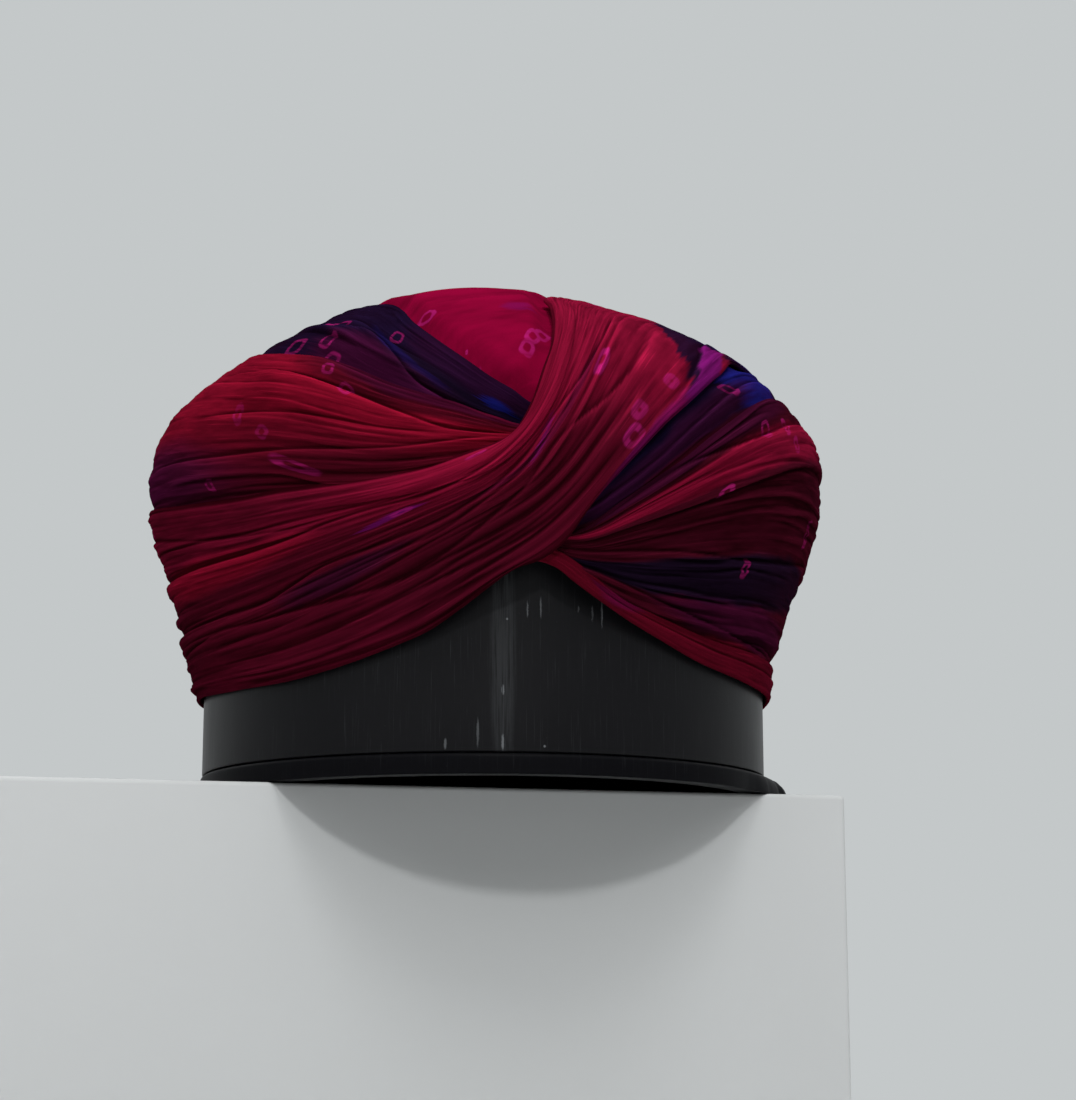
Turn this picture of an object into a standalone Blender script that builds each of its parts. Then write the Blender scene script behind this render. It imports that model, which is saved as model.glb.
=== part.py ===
"""Tied turban pagri of fine tie-dyed cloth on a plain round display stand.

Metres, +Z up. The stand's underside is at z = 0 and its axis is the Z axis.
The front of the turban, with the twist, faces -Y, and +X is its right in a front view.
"""
import math

import bmesh
import bpy
import numpy as np

MM = 0.001

# Stand: a plastic tube on a low foot ring
TUBE_RADIUS = 89.8 * MM
TUBE_WALL = 3.0 * MM
TUBE_TOP = 112.0 * MM
FOOT_HEIGHT = 6.0 * MM
FOOT_RADIUS = 90.3 * MM
FOOT_INNER_RADIUS = 84.0 * MM
FOOT_EDGE_ROUND = 1.2 * MM
LIP_STEP = 2.2 * MM
STAND_SEGMENTS = 56
SEAT_GAP = 0.3 * MM
MERGE = 0.001 * MM

# Cloth: one ply of the outer winding, and the room that each ply takes
CLOTH = 1.0 * MM
PLY_STEP = 2.0 * MM
DIP_WIDTH = 8.0 * MM
DIP_MARGIN = 1.0 * MM
FULL_FOLD_WIDTH = 45.0 * MM

# Inner crown: outer rings, and the turned hollow that sits on the tube
CROWN_SEGMENTS = 48
CROWN_OUTER_RINGS = 14
CROWN_SINK = 1.3 * MM
CROWN_RISE = 1.6 * MM

# Outer form of the wound turban, in mm: height, then the reach to the left, right, front and back
BODY = (
    (27.0, 91.3, 91.7, 91.5, 94.5),
    (33.0, 91.9, 92.2, 92.0, 95.0),
    (45.0, 95.1, 94.2, 95.0, 97.6),
    (60.0, 99.6, 98.3, 100.2, 101.8),
    (75.0, 104.0, 103.8, 106.0, 106.8),
    (90.0, 109.0, 108.6, 111.9, 112.0),
    (102.0, 108.6, 109.0, 112.1, 112.1),
    (114.0, 105.2, 105.8, 108.7, 108.7),
    (126.0, 95.0, 97.8, 99.3, 99.3),
    (137.0, 80.0, 85.2, 85.2, 85.2),
    (146.0, 65.5, 68.4, 69.0, 69.0),
    (152.5, 54.0, 52.0, 54.6, 54.6),
    (157.0, 34.0, 32.5, 34.3, 34.3),
    (158.5, 0.0, 0.0, 0.0, 0.0),
)
HEM_ROW = 1
HEM_ELEVATION = -36.0

# Each stretch of cloth lies between two edges. A row is one station along it, in degrees:
# azimuth and elevation of the lower edge, azimuth and elevation of the upper edge.
CROSSING_BAND = (
    (-196.0, -36.5, -174.0, -1.0),
    (-168.0, -37.0, -158.0, 2.0),
    (-140.0, -37.0, -135.0, 4.0),
    (-110.0, -37.0, -110.0, 4.0),
    (-80.0, -37.5, -83.0, 1.0),
    (-54.0, -38.5, -58.0, -3.5),
    (-36.0, -38.0, -42.0, -5.0),
    (-25.0, -36.0, -34.0, -4.8),
    (-15.0, -33.0, -27.0, -4.8),
    (-10.0, -31.0, -21.0, -4.6),
    (-4.0, -27.0, -14.0, -3.8),
    (1.0, -23.0, -8.0, -2.6),
    (5.0, -20.0, -4.0, -1.0),
    (9.5, -18.2, -1.0, 0.2),
    (13.0, -15.0, 2.0, 1.4),
    (15.3, -11.0, 4.2, 3.0),
    (18.0, -6.0, 6.0, 6.0),
    (21.0, -2.0, 7.5, 10.0),
    (24.0, 2.0, 9.2, 16.0),
    (28.0, 7.0, 11.0, 22.0),
    (34.0, 13.0, 12.8, 31.0),
    (44.0, 22.0, 15.5, 43.0),
    (60.0, 32.5, 21.0, 56.0),
    (80.0, 29.0, 44.0, 64.0),
    (102.0, 21.0, 76.0, 66.0),
    (130.0, 13.0, 108.0, 61.0),
    (160.0, 9.0, 135.0, 53.0),
    (188.0, 7.0, 158.0, 47.0),
)
HEM_FOLD = (
    (6.0, -18.3, 6.5, -16.4),
    (12.0, -19.6, 12.5, -17.6),
    (16.0, -22.3, 18.0, -20.8),
    (20.5, -25.2, 24.5, -24.8),
    (27.0, -28.5, 31.0, -27.0),
    (34.0, -31.2, 39.0, -29.0),
    (44.0, -34.2, 48.0, -30.5),
    (58.0, -36.0, 60.0, -31.0),
    (84.0, -37.0, 84.0, -31.0),
    (115.0, -37.5, 115.0, -31.0),
    (145.0, -37.5, 145.0, -31.0),
    (175.0, -37.5, 175.0, -31.0),
    (198.0, -37.5, 198.0, -31.0),
    (212.0, -37.5, 212.0, -31.0),
)
RIGHT_FAN = (
    (5.0, -17.0, 5.0, -12.5),
    (10.5, -18.6, 9.5, -14.0),
    (14.5, -20.6, 14.5, -14.4),
    (19.5, -23.6, 22.0, -8.0),
    (25.0, -27.0, 30.0, -1.0),
    (32.0, -29.6, 38.0, 6.5),
    (41.0, -31.6, 48.0, 14.0),
    (55.0, -32.3, 61.0, 20.5),
    (77.0, -32.3, 79.0, 23.0),
    (100.0, -32.3, 100.0, 21.5),
    (125.0, -32.3, 124.0, 17.0),
    (150.0, -32.3, 150.0, 11.0),
    (174.0, -32.3, 173.0, 6.5),
    (197.0, -32.3, 193.0, -2.5),
    (212.0, -32.3, 208.0, -9.0),
)
UPPER_LEFT_FAN = (
    (-215.0, 0.0, -208.0, 43.0),
    (-195.0, 0.0, -190.0, 44.0),
    (-172.0, -1.0, -168.0, 44.0),
    (-145.0, -2.0, -142.0, 43.0),
    (-115.0, -3.0, -112.0, 41.0),
    (-85.0, -6.0, -82.0, 37.0),
    (-60.0, -9.0, -58.0, 32.0),
    (-46.0, -10.0, -42.0, 26.5),
    (-34.0, -10.0, -29.0, 21.5),
    (-25.0, -10.0, -21.0, 16.8),
    (-18.0, -9.5, -15.0, 13.0),
    (-11.0, -8.0, -9.0, 10.3),
    (-5.0, -6.0, -4.0, 8.3),
    (0.0, -4.0, 0.0, 6.4),
    (4.5, -2.0, 4.5, 5.0),
    (8.5, 0.0, 8.5, 4.4),
)
SIDE_FOLD = (
    (5.5, -15.6, 5.0, -9.5),
    (11.0, -16.4, 10.0, -8.0),
    (16.0, -15.0, 13.5, -3.0),
    (22.0, -11.5, 17.0, 3.0),
    (29.0, -5.5, 21.0, 9.0),
    (37.0, 2.0, 27.0, 17.0),
    (48.0, 9.5, 36.0, 27.0),
    (62.0, 16.0, 53.0, 36.0),
    (80.0, 18.5, 75.0, 36.0),
    (100.0, 17.0, 98.0, 29.0),
    (120.0, 12.0, 120.0, 22.0),
)
NAVY_FOLD = (
    (-232.0, 34.0, -232.0, 42.0),
    (-220.0, 37.0, -220.0, 47.0),
    (-205.0, 39.0, -203.0, 53.5),
    (-178.0, 40.0, -175.0, 58.0),
    (-145.0, 39.0, -142.0, 61.0),
    (-115.0, 37.0, -110.0, 62.0),
    (-85.0, 33.0, -75.0, 61.0),
    (-60.0, 28.0, -45.0, 57.0),
    (-42.0, 22.5, -28.0, 50.0),
    (-29.0, 17.0, -20.0, 41.0),
    (-21.0, 12.5, -14.5, 32.0),
    (-14.0, 9.0, -9.0, 24.5),
    (-8.0, 6.5, -4.0, 18.5),
    (-2.0, 4.0, 1.0, 13.3),
    (3.0, 2.5, 5.0, 10.4),
    (8.0, 2.0, 8.5, 8.2),
)

# Folds across a stretch, from its lower edge (0) to its upper edge (1): the valley,
# the crest above it, and the crest's height in mm
CROSSING_FOLDS = (
    (0.00, 0.05, 1.2),
    (0.09, 0.17, 1.5),
    (0.24, 0.34, 1.6),
    (0.42, 0.53, 1.8),
    (0.61, 0.73, 1.6),
    (0.82, 0.93, 1.3),
)
FAN_FOLDS = (
    (0.00, 0.05, 0.0),
    (0.12, 0.21, 1.3),
    (0.33, 0.43, 1.6),
    (0.53, 0.63, 1.6),
    (0.71, 0.79, 1.7),
    (0.86, 0.94, 1.2),
)
LEFT_FOLDS = (
    (0.00, 0.11, 0.0),
    (0.22, 0.33, 1.2),
    (0.44, 0.54, 1.6),
    (0.64, 0.74, 1.7),
    (0.83, 0.93, 1.2),
)
NAVY_FOLDS = (
    (0.00, 0.14, 0.0),
    (0.30, 0.45, 1.0),
    (0.60, 0.74, 1.2),
    (0.86, 0.94, 0.8),
)
SIDE_FOLDS = (
    (0.00, 0.12, 0.0),
    (0.28, 0.42, 1.1),
    (0.55, 0.66, 1.1),
    (0.78, 0.88, 0.0),
)
HEM_FOLDS = (
    (0.00, 0.50, 0.8),
)

# Ragged lip left on the foot: azimuth in degrees, reach past the ring in mm
FOOT_LIP = (
    (64.0, 0.0),
    (71.0, 2.0),
    (77.5, 3.4),
    (84.0, 6.0),
    (90.0, 5.2),
    (96.5, 6.8),
    (103.0, 3.0),
    (109.5, 0.0),
)

# Lower rim of the inner crown: azimuth and elevation in degrees
CROWN_RIM = (
    (-180.0, -26.0),
    (-100.0, -26.0),
    (-60.0, -25.0),
    (-28.0, -20.0),
    (0.0, -8.0),
    (14.0, -7.0),
    (38.0, -16.0),
    (70.0, -25.0),
    (120.0, -26.0),
    (180.0, -26.0),
)
# Hollow of the crown above the tube, in mm: height, radius
CROWN_HOLLOW = (
    (112.3, 84.0),
    (122.0, 80.0),
    (131.0, 70.0),
    (139.0, 56.0),
    (144.5, 40.0),
    (148.0, 20.0),
)
CROWN_HOLLOW_TOP = 149.0 * MM

# Colours, linear RGB, and roughness
PLASTIC = ((0.012, 0.012, 0.014), 0.42)
CRIMSON = ((0.16, 0.004, 0.018), 0.62)
MAROON = ((0.060, 0.003, 0.010), 0.66)
RED = ((0.19, 0.004, 0.014), 0.62)
NAVY = ((0.012, 0.006, 0.030), 0.60)
PINK = ((0.260, 0.005, 0.030), 0.62)


def spline(knots, values, x):
    """A smooth curve through the rows of values, read at x; slopes come from the neighbours."""
    knots = np.asarray(knots, float)
    values = np.asarray(values, float)
    x = np.asarray(x, float)
    slopes = np.gradient(values, knots, axis=0)
    i = np.clip(np.searchsorted(knots, x, side="right") - 1, 0, len(knots) - 2)
    step = knots[i + 1] - knots[i]
    s = ((x - knots[i]) / step)[..., None]
    step = step[..., None]
    return ((1 + 2 * s) * (1 - s) ** 2 * values[i] + s * (1 - s) ** 2 * step * slopes[i]
            + s * s * (3 - 2 * s) * values[i + 1] + s * s * (s - 1) * step * slopes[i + 1])


def smooth_step(x):
    x = np.clip(x, 0.0, 1.0)
    return x * x * (3 - 2 * x)


def body_table():
    """Elevation knots by the length of the profile, and the body's rows run on over the top."""
    rows = np.array(BODY) * MM
    half = rows[:, 1:3].mean(axis=1)
    length = np.concatenate(([0.0], np.cumsum(np.hypot(np.diff(rows[:, 0]), np.diff(half)))))
    share = (length - length[HEM_ROW]) / (length[-1] - length[HEM_ROW])
    knots = HEM_ELEVATION + (90.0 - HEM_ELEVATION) * share
    mirrored = rows[-2:-4:-1] * np.array((1.0, -1.0, -1.0, -1.0, -1.0))
    knots = np.concatenate((knots, 180.0 - knots[-2:-4:-1]))
    return knots, np.vstack((rows, mirrored))


BODY_KNOTS, BODY_ROWS = body_table()


def body_point(azimuth, elevation):
    """A point of the outer form; azimuth is 0 at the front and grows to the right."""
    a = np.radians(azimuth)
    row = np.moveaxis(spline(BODY_KNOTS, BODY_ROWS, elevation), -1, 0)
    height, left, right, front, back = row
    across = np.where(np.sin(a) < 0, left, right)
    along = np.where(np.cos(a) < 0, back, front)
    return np.stack((across * np.sin(a), -along * np.cos(a), height), axis=-1)


def body_normal(azimuth, elevation):
    """The outward direction of the outer form, the same for every layer of cloth."""
    azimuth, elevation = np.broadcast_arrays(azimuth, np.minimum(elevation, 88.0))
    along = body_point(azimuth + 0.5, elevation) - body_point(azimuth - 0.5, elevation)
    up = body_point(azimuth, elevation + 0.5) - body_point(azimuth, elevation - 0.5)
    normal = np.cross(along, up)
    return normal / np.linalg.norm(normal, axis=-1, keepdims=True)


class Stretch:
    """A stretch of cloth between two edges, with a share along it and a share across it."""

    def __init__(self, stations):
        self.rows = np.array(stations)
        middle = 0.5 * (self.rows[:, :2] + self.rows[:, 2:])
        points = body_point(middle[:, 0], middle[:, 1])
        length = np.cumsum(np.linalg.norm(np.diff(points, axis=0), axis=1))
        self.knots = np.concatenate(([0.0], length)) / length[-1]

    def place(self, along, across):
        """Azimuth and elevation at a share along the stretch and a share across it."""
        edge = spline(self.knots, self.rows, along)
        across = np.asarray(across)[..., None]
        place = edge[..., :2] * (1 - across) + edge[..., 2:] * across
        return place[..., 0], place[..., 1]

    def width(self, along):
        """Distance between the two edges."""
        zero = np.zeros_like(along)
        low = body_point(*self.place(along, zero))
        high = body_point(*self.place(along, zero + 1))
        return np.linalg.norm(high - low, axis=-1)

    def outline(self, count=160):
        """Azimuth and elevation round the stretch's border."""
        along = np.linspace(0.0, 1.0, count)
        side = np.linspace(0.0, 1.0, 12)[1:-1]
        low = self.place(along, np.zeros(count))
        end = self.place(np.ones(len(side)), side)
        high = self.place(along[::-1], np.ones(count))
        start = self.place(np.zeros(len(side)), side[::-1])
        return [np.concatenate(parts) for parts in zip(low, end, high, start)]


def chart(azimuth, elevation):
    """A flat map round the top of the head."""
    a = np.radians(azimuth)
    reach = 90.0 - np.asarray(elevation)
    return reach * np.sin(a), -reach * np.cos(a)


def depth_inside(stretch, azimuth, elevation):
    """Distance from the stretch's border, above zero inside it and below zero outside."""
    border = stretch.outline()
    start = body_point(*border)
    run = np.roll(start, -1, axis=0) - start
    points = body_point(azimuth, elevation)[:, None, :] - start[None]
    share = np.clip((points * run).sum(-1) / np.maximum((run * run).sum(-1), 1e-12), 0.0, 1.0)
    distance = np.linalg.norm(points - share[..., None] * run, axis=-1).min(axis=1)
    bx, by = chart(*border)
    cx, cy = np.roll(bx, -1), np.roll(by, -1)
    px, py = (value[:, None] for value in chart(azimuth, elevation))
    level = (by > py) != (cy > py)
    slope = np.where(level, cy - by, 1.0)
    crossed = level & (px < (cx - bx) * (py - by) / slope + bx)
    inside = crossed.sum(axis=1) % 2 == 1
    return np.where(inside, distance, -distance)


def covered(azimuth, elevation, covers):
    """How many stretches lie over each place, with a smooth dip outside every edge."""
    azimuth, elevation = np.ravel(azimuth), np.ravel(elevation)
    plies = np.zeros_like(azimuth)
    for stretch in covers:
        inside = depth_inside(stretch, azimuth, elevation)
        plies += smooth_step((inside + DIP_WIDTH) / (DIP_WIDTH - DIP_MARGIN))
    return plies


def new_object(name, bm, collection, finish):
    """Turn the mesh into a named object with its own material."""
    mesh = bpy.data.meshes.new(name)
    bm.to_mesh(mesh)
    bm.free()
    mesh.shade_smooth()
    mesh.set_sharp_from_angle(angle=math.radians(40.0))
    colour, roughness = finish
    material = bpy.data.materials.new(name)
    material.use_nodes = True
    shader = material.node_tree.nodes["Principled BSDF"]
    shader.inputs["Base Color"].default_value = (*colour, 1.0)
    shader.inputs["Roughness"].default_value = roughness
    shader.inputs["Metallic"].default_value = 0.0
    mesh.materials.append(material)
    piece = bpy.data.objects.new(name, mesh)
    collection.objects.link(piece)
    return piece


def cloth_stretch(name, stations, folds, steps, covers, collection, finish):
    """A folded sheet laid on the outer form, dipping under the stretches that cover it."""
    stretch = Stretch(stations)
    lines = [value for valley, crest, _ in folds for value in (valley, crest)] + [1.0]
    heights = [value for _, _, height in folds for value in (0.0, height * MM)] + [0.0]
    bm = bmesh.new()
    bmesh.ops.create_grid(bm, x_segments=steps, y_segments=len(lines) - 1, size=0.5)
    flat = np.array([vertex.co[:2] for vertex in bm.verts]) + 0.5
    line = np.rint(flat[:, 1] * (len(lines) - 1)).astype(int)
    along = flat[:, 0]
    azimuth, elevation = stretch.place(along, np.array(lines)[line])
    plies = covered(azimuth, elevation, covers)
    bare = 1 - np.clip(plies, 0.0, 1.0)
    narrow = np.clip(stretch.width(along) / FULL_FOLD_WIDTH, 0.0, 1.0)
    lift = np.array(heights)[line] * bare * narrow - PLY_STEP * plies
    points = body_point(azimuth, elevation) + lift[:, None] * body_normal(azimuth, elevation)
    for vertex, point in zip(bm.verts, points):
        vertex.co = point
    piece = new_object(name, bm, collection, finish)
    wall = piece.modifiers.new("cloth", "SOLIDIFY")
    wall.thickness = CLOTH
    wall.offset = -1.0
    return stretch


def turned(name, profile, segments, collection, finish, shape=None):
    """A closed profile of (radius, height) spun round the Z axis, then shaped if asked.

    Each vertex keeps the number of its row in the profile, for the shaping.
    """
    bm = bmesh.new()
    row = bm.verts.layers.int.new("row")
    verts = [bm.verts.new((radius, 0.0, height)) for radius, height in profile]
    for number, vertex in enumerate(verts):
        vertex[row] = number
    edges = [bm.edges.new(pair) for pair in zip(verts, verts[1:] + verts[:1])]
    bmesh.ops.spin(bm, geom=verts + edges, cent=(0, 0, 0), axis=(0, 0, 1), dvec=(0, 0, 0),
                   angle=2 * math.pi, steps=segments, use_merge=True, use_duplicate=False)
    bmesh.ops.remove_doubles(bm, verts=bm.verts, dist=MERGE)
    if shape:
        shape(bm, row)
    bmesh.ops.recalc_face_normals(bm, faces=bm.faces)
    return new_object(name, bm, collection, finish)


def azimuth_of(vertex):
    return math.degrees(math.atan2(vertex.co.x, -vertex.co.y))


def stand_tube(collection):
    inner = TUBE_RADIUS - TUBE_WALL
    bottom = FOOT_HEIGHT + SEAT_GAP
    profile = ((TUBE_RADIUS, bottom), (TUBE_RADIUS, TUBE_TOP), (inner, TUBE_TOP), (inner, bottom))
    turned("stand_tube", profile, STAND_SEGMENTS, collection, PLASTIC)


def stand_foot(collection):
    """The low foot ring, with the ragged lip pulled out of its outer face on the right."""
    azimuths, reaches = zip(*FOOT_LIP)
    outer = (
        (FOOT_RADIUS, 0.0),
        (FOOT_RADIUS, LIP_STEP),
        (FOOT_RADIUS, FOOT_HEIGHT - FOOT_EDGE_ROUND),
        (FOOT_RADIUS - FOOT_EDGE_ROUND, FOOT_HEIGHT),
    )
    inner = (
        (FOOT_INNER_RADIUS, FOOT_HEIGHT),
        (FOOT_INNER_RADIUS, 0.0),
    )

    def pull_lip(bm, row):
        for vertex in bm.verts:
            if vertex[row] < len(outer):
                reach = float(np.interp(azimuth_of(vertex), azimuths, reaches)) * MM
                slope = math.sqrt(max(0.0, 1 - (vertex.co.z / FOOT_HEIGHT) ** 2))
                radius = math.hypot(vertex.co.x, vertex.co.y)
                vertex.co.x *= 1 + reach * slope / radius
                vertex.co.y *= 1 + reach * slope / radius

    turned("stand_foot", outer + inner, STAND_SEGMENTS, collection, PLASTIC, pull_lip)


def crown(covers, collection):
    """The inner winding: domed outside, hollow inside, seated on the tube's upper rim."""
    rim_azimuth, rim_elevation = zip(*CROWN_RIM)
    hollow = TUBE_RADIUS + SEAT_GAP
    levels = np.linspace(min(rim_elevation), 90.0, CROWN_OUTER_RINGS + 1)
    outer = [(point[0], point[2]) for point in body_point(np.full_like(levels, 90.0), levels)]
    inner = [(0.0, CROWN_HOLLOW_TOP)]
    inner += [(radius * MM, height * MM) for height, radius in reversed(CROWN_HOLLOW)]
    inner += [(hollow, TUBE_TOP + SEAT_GAP), (hollow, outer[0][1])]
    rim_row = len(outer) + len(inner) - 1

    def shape(bm, row):
        dome = [vertex for vertex in bm.verts if vertex[row] < len(outer)]
        azimuth = np.array([azimuth_of(vertex) for vertex in dome])
        share = np.array([vertex[row] for vertex in dome]) / CROWN_OUTER_RINGS
        rim = np.interp(azimuth, rim_azimuth, rim_elevation)
        elevation = rim + (90.0 - rim) * share
        plies = covered(azimuth, elevation, covers)
        hidden = np.clip(plies, 0.0, 1.0)
        lift = CROWN_RISE * (1 - hidden) - CROWN_SINK * hidden - PLY_STEP * plies
        points = body_point(azimuth, elevation) + lift[:, None] * body_normal(azimuth, elevation)
        for vertex, point in zip(dome, points):
            vertex.co = point
        for vertex in bm.verts:
            if vertex[row] == rim_row:
                rim = np.interp(azimuth_of(vertex), rim_azimuth, rim_elevation)
                vertex.co.z = body_point(azimuth_of(vertex), rim)[2]

    turned("crown", outer + inner, CROWN_SEGMENTS, collection, PINK, shape)


def main():
    for item in list(bpy.data.objects):
        bpy.data.objects.remove(item)
    collection = bpy.data.collections.new("tied_turban_pagri")
    bpy.context.scene.collection.children.link(collection)
    stand_foot(collection)
    stand_tube(collection)
    # From the outermost stretch inwards, each under all those before it
    layers = (
        ("crossing_band", CROSSING_BAND, CROSSING_FOLDS, 56, CRIMSON),
        ("hem_fold", HEM_FOLD, HEM_FOLDS, 36, RED),
        ("right_fan", RIGHT_FAN, FAN_FOLDS, 35, MAROON),
        ("upper_left_fan", UPPER_LEFT_FAN, LEFT_FOLDS, 34, RED),
        ("side_fold", SIDE_FOLD, SIDE_FOLDS, 20, NAVY),
        ("navy_fold", NAVY_FOLD, NAVY_FOLDS, 35, NAVY),
    )
    covers = []
    for name, stations, folds, steps, finish in layers:
        covers.append(cloth_stretch(name, stations, folds, steps, covers, collection, finish))
    crown(covers, collection)


main()
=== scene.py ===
"""Looks of a tied turban pagri on its round display stand.

Run as a script, it lays the pleated, tie-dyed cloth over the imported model, finishes the
plastic stand, and sets a pale plinth, soft studio lights and a camera round them.
Metres, +Z up. The front of the turban, with the twist, faces -Y.
"""
import math
from collections import namedtuple

import bmesh
import bpy
import numpy as np
from bpy.props import FloatProperty, FloatVectorProperty, IntProperty, PointerProperty
from mathutils import Matrix, Vector


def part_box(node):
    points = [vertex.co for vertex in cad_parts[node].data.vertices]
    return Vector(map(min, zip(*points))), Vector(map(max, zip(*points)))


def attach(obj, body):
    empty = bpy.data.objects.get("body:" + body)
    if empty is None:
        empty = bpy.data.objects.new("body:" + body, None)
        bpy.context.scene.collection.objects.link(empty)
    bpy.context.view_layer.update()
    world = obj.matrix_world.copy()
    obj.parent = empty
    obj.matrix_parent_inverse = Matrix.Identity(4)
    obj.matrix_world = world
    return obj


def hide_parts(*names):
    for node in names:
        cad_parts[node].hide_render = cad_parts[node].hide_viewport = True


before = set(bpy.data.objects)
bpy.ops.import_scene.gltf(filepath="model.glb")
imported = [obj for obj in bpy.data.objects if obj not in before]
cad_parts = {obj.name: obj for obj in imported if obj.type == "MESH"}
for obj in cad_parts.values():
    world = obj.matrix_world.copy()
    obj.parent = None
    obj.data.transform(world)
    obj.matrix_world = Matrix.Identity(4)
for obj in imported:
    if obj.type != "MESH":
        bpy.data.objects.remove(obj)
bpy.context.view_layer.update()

bl_info = {
    "name": "Tied Turban Pagri",
    "version": (1, 0, 0),
    "blender": (4, 5, 0),
    "location": "3D View > Sidebar > Turban",
    "description": "Lays pleated tie-dyed cloth over a turban form on its display stand",
    "category": "Object",
}

MM = 0.001
UV_MAP = "cloth"
# Mesh attribute that holds the painted fold shade: painted highlight on ridges, painted shade in valleys
PAINTED_FOLD_SHADE = "fold"
BODY_NAME = "root"

# Stand, read from the frame
TUBE_LOW, TUBE_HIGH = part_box("stand_tube")
FOOT_LOW, FOOT_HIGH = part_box("stand_foot")
TUBE_RADIUS = TUBE_HIGH.x
FOOT_RADIUS = -FOOT_LOW.x
FOOT_INNER_RADIUS = 84.0 * MM
FOOT_EDGE_ROUND = 1.2 * MM
FOOT_LOWER_ROUND = 0.4 * MM
TUBE_EDGE_ROUND = 0.6 * MM
TUBE_GLOSS = 0.115
FOOT_GLOSS = 0.02
MERGE = 0.001 * MM

# Outer form of the wound turban, in mm: height, then the reach to the left, right, front and back
BODY = (
    (27, 91.3, 91.7, 91.5, 94.5),
    (33, 91.9, 92.2, 92, 95),
    (45, 95.1, 94.2, 95, 97.6),
    (60, 99.6, 98.3, 100.2, 101.8),
    (75, 104, 103.8, 106, 106.8),
    (90, 109, 108.6, 111.9, 112),
    (102, 108.6, 109, 112.1, 112.1),
    (114, 105.2, 105.8, 108.7, 108.7),
    (126, 95, 97.8, 99.3, 99.3),
    (137, 80, 85.2, 85.2, 85.2),
    (146, 65.5, 68.4, 69, 69),
    (152.5, 54, 52, 54.6, 54.6),
    (157, 34, 32.5, 34.3, 34.3),
    (158.5, 0, 0, 0, 0),
)
HEM_ROW = 1
HEM_ELEVATION = -36.0

# Each stretch of cloth lies between two edges. A row is one station along it, in degrees:
# azimuth and elevation of the lower edge, azimuth and elevation of the upper edge.
CROSSING_BAND = (
    (-196, -36.5, -174, -1),
    (-168, -37, -158, 2),
    (-140, -37, -135, 4),
    (-110, -37, -110, 4),
    (-80, -37.5, -83, 1),
    (-54, -38.5, -58, -3.5),
    (-36, -38, -42, -5),
    (-25, -36, -34, -4.8),
    (-15, -33, -27, -4.8),
    (-10, -31, -21, -4.6),
    (-4, -27, -14, -3.8),
    (1, -23, -8, -2.6),
    (5, -20, -4, -1),
    (9.5, -18.2, -1, 0.2),
    (13, -15, 2, 1.4),
    (15.3, -11, 4.2, 3),
    (18, -6, 6, 6),
    (21, -2, 7.5, 10),
    (24, 2, 9.2, 16),
    (28, 7, 11, 22),
    (34, 13, 12.8, 31),
    (44, 22, 15.5, 43),
    (60, 32.5, 21, 56),
    (80, 29, 44, 64),
    (102, 21, 76, 66),
    (130, 13, 108, 61),
    (160, 9, 135, 53),
    (188, 7, 158, 47),
)
HEM_FOLD = (
    (6, -18.3, 6.5, -16.4),
    (12, -19.6, 12.5, -17.6),
    (16, -22.3, 18, -20.8),
    (20.5, -25.2, 24.5, -24.8),
    (27, -28.5, 31, -27),
    (34, -31.2, 39, -29),
    (44, -34.2, 48, -30.5),
    (58, -36, 60, -31),
    (84, -37, 84, -31),
    (115, -37.5, 115, -31),
    (145, -37.5, 145, -31),
    (175, -37.5, 175, -31),
    (198, -37.5, 198, -31),
    (212, -37.5, 212, -31),
)
RIGHT_FAN = (
    (5, -17, 5, -12.5),
    (10.5, -18.6, 9.5, -14),
    (14.5, -20.6, 14.5, -14.4),
    (19.5, -23.6, 22, -8),
    (25, -27, 30, -1),
    (32, -29.6, 38, 6.5),
    (41, -31.6, 48, 14),
    (55, -32.3, 61, 20.5),
    (77, -32.3, 79, 23),
    (100, -32.3, 100, 21.5),
    (125, -32.3, 124, 17),
    (150, -32.3, 150, 11),
    (174, -32.3, 173, 6.5),
    (197, -32.3, 193, -2.5),
    (212, -32.3, 208, -9),
)
UPPER_LEFT_FAN = (
    (-215, 0, -208, 43),
    (-195, 0, -190, 44),
    (-172, -1, -168, 44),
    (-145, -2, -142, 43),
    (-115, -3, -112, 41),
    (-85, -6, -82, 37),
    (-60, -9, -58, 32),
    (-46, -10, -42, 26.5),
    (-34, -10, -29, 21.5),
    (-25, -10, -21, 16.8),
    (-18, -9.5, -15, 13),
    (-11, -8, -9, 10.3),
    (-5, -6, -4, 8.3),
    (0, -4, 0, 6.4),
    (4.5, -2, 4.5, 5),
    (8.5, 0, 8.5, 4.4),
)
SIDE_FOLD = (
    (5.5, -15.6, 5, -9.5),
    (11, -16.4, 10, -8),
    (16, -15, 13.5, -3),
    (22, -11.5, 17, 3),
    (29, -5.5, 21, 9),
    (37, 2, 27, 17),
    (48, 9.5, 36, 27),
    (62, 16, 53, 36),
    (80, 18.5, 75, 36),
    (100, 17, 98, 29),
    (120, 12, 120, 22),
)
NAVY_FOLD = (
    (-232, 34, -232, 42),
    (-220, 37, -220, 47),
    (-205, 39, -203, 53.5),
    (-178, 40, -175, 58),
    (-145, 39, -142, 61),
    (-115, 37, -110, 62),
    (-85, 33, -75, 61),
    (-60, 28, -45, 57),
    (-42, 22.5, -28, 50),
    (-29, 17, -20, 41),
    (-21, 12.5, -14.5, 32),
    (-14, 9, -9, 24.5),
    (-8, 6.5, -4, 18.5),
    (-2, 4, 1, 13.3),
    (3, 2.5, 5, 10.4),
    (8, 2, 8.5, 8.2),
)

# A lip is the edge of one folded ply: its height and its reach from the edge in mm (below zero
# where the ply lies under the line), and the line as shares along and across the stretch.
Lip = namedtuple("Lip", "height reach line")

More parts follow.
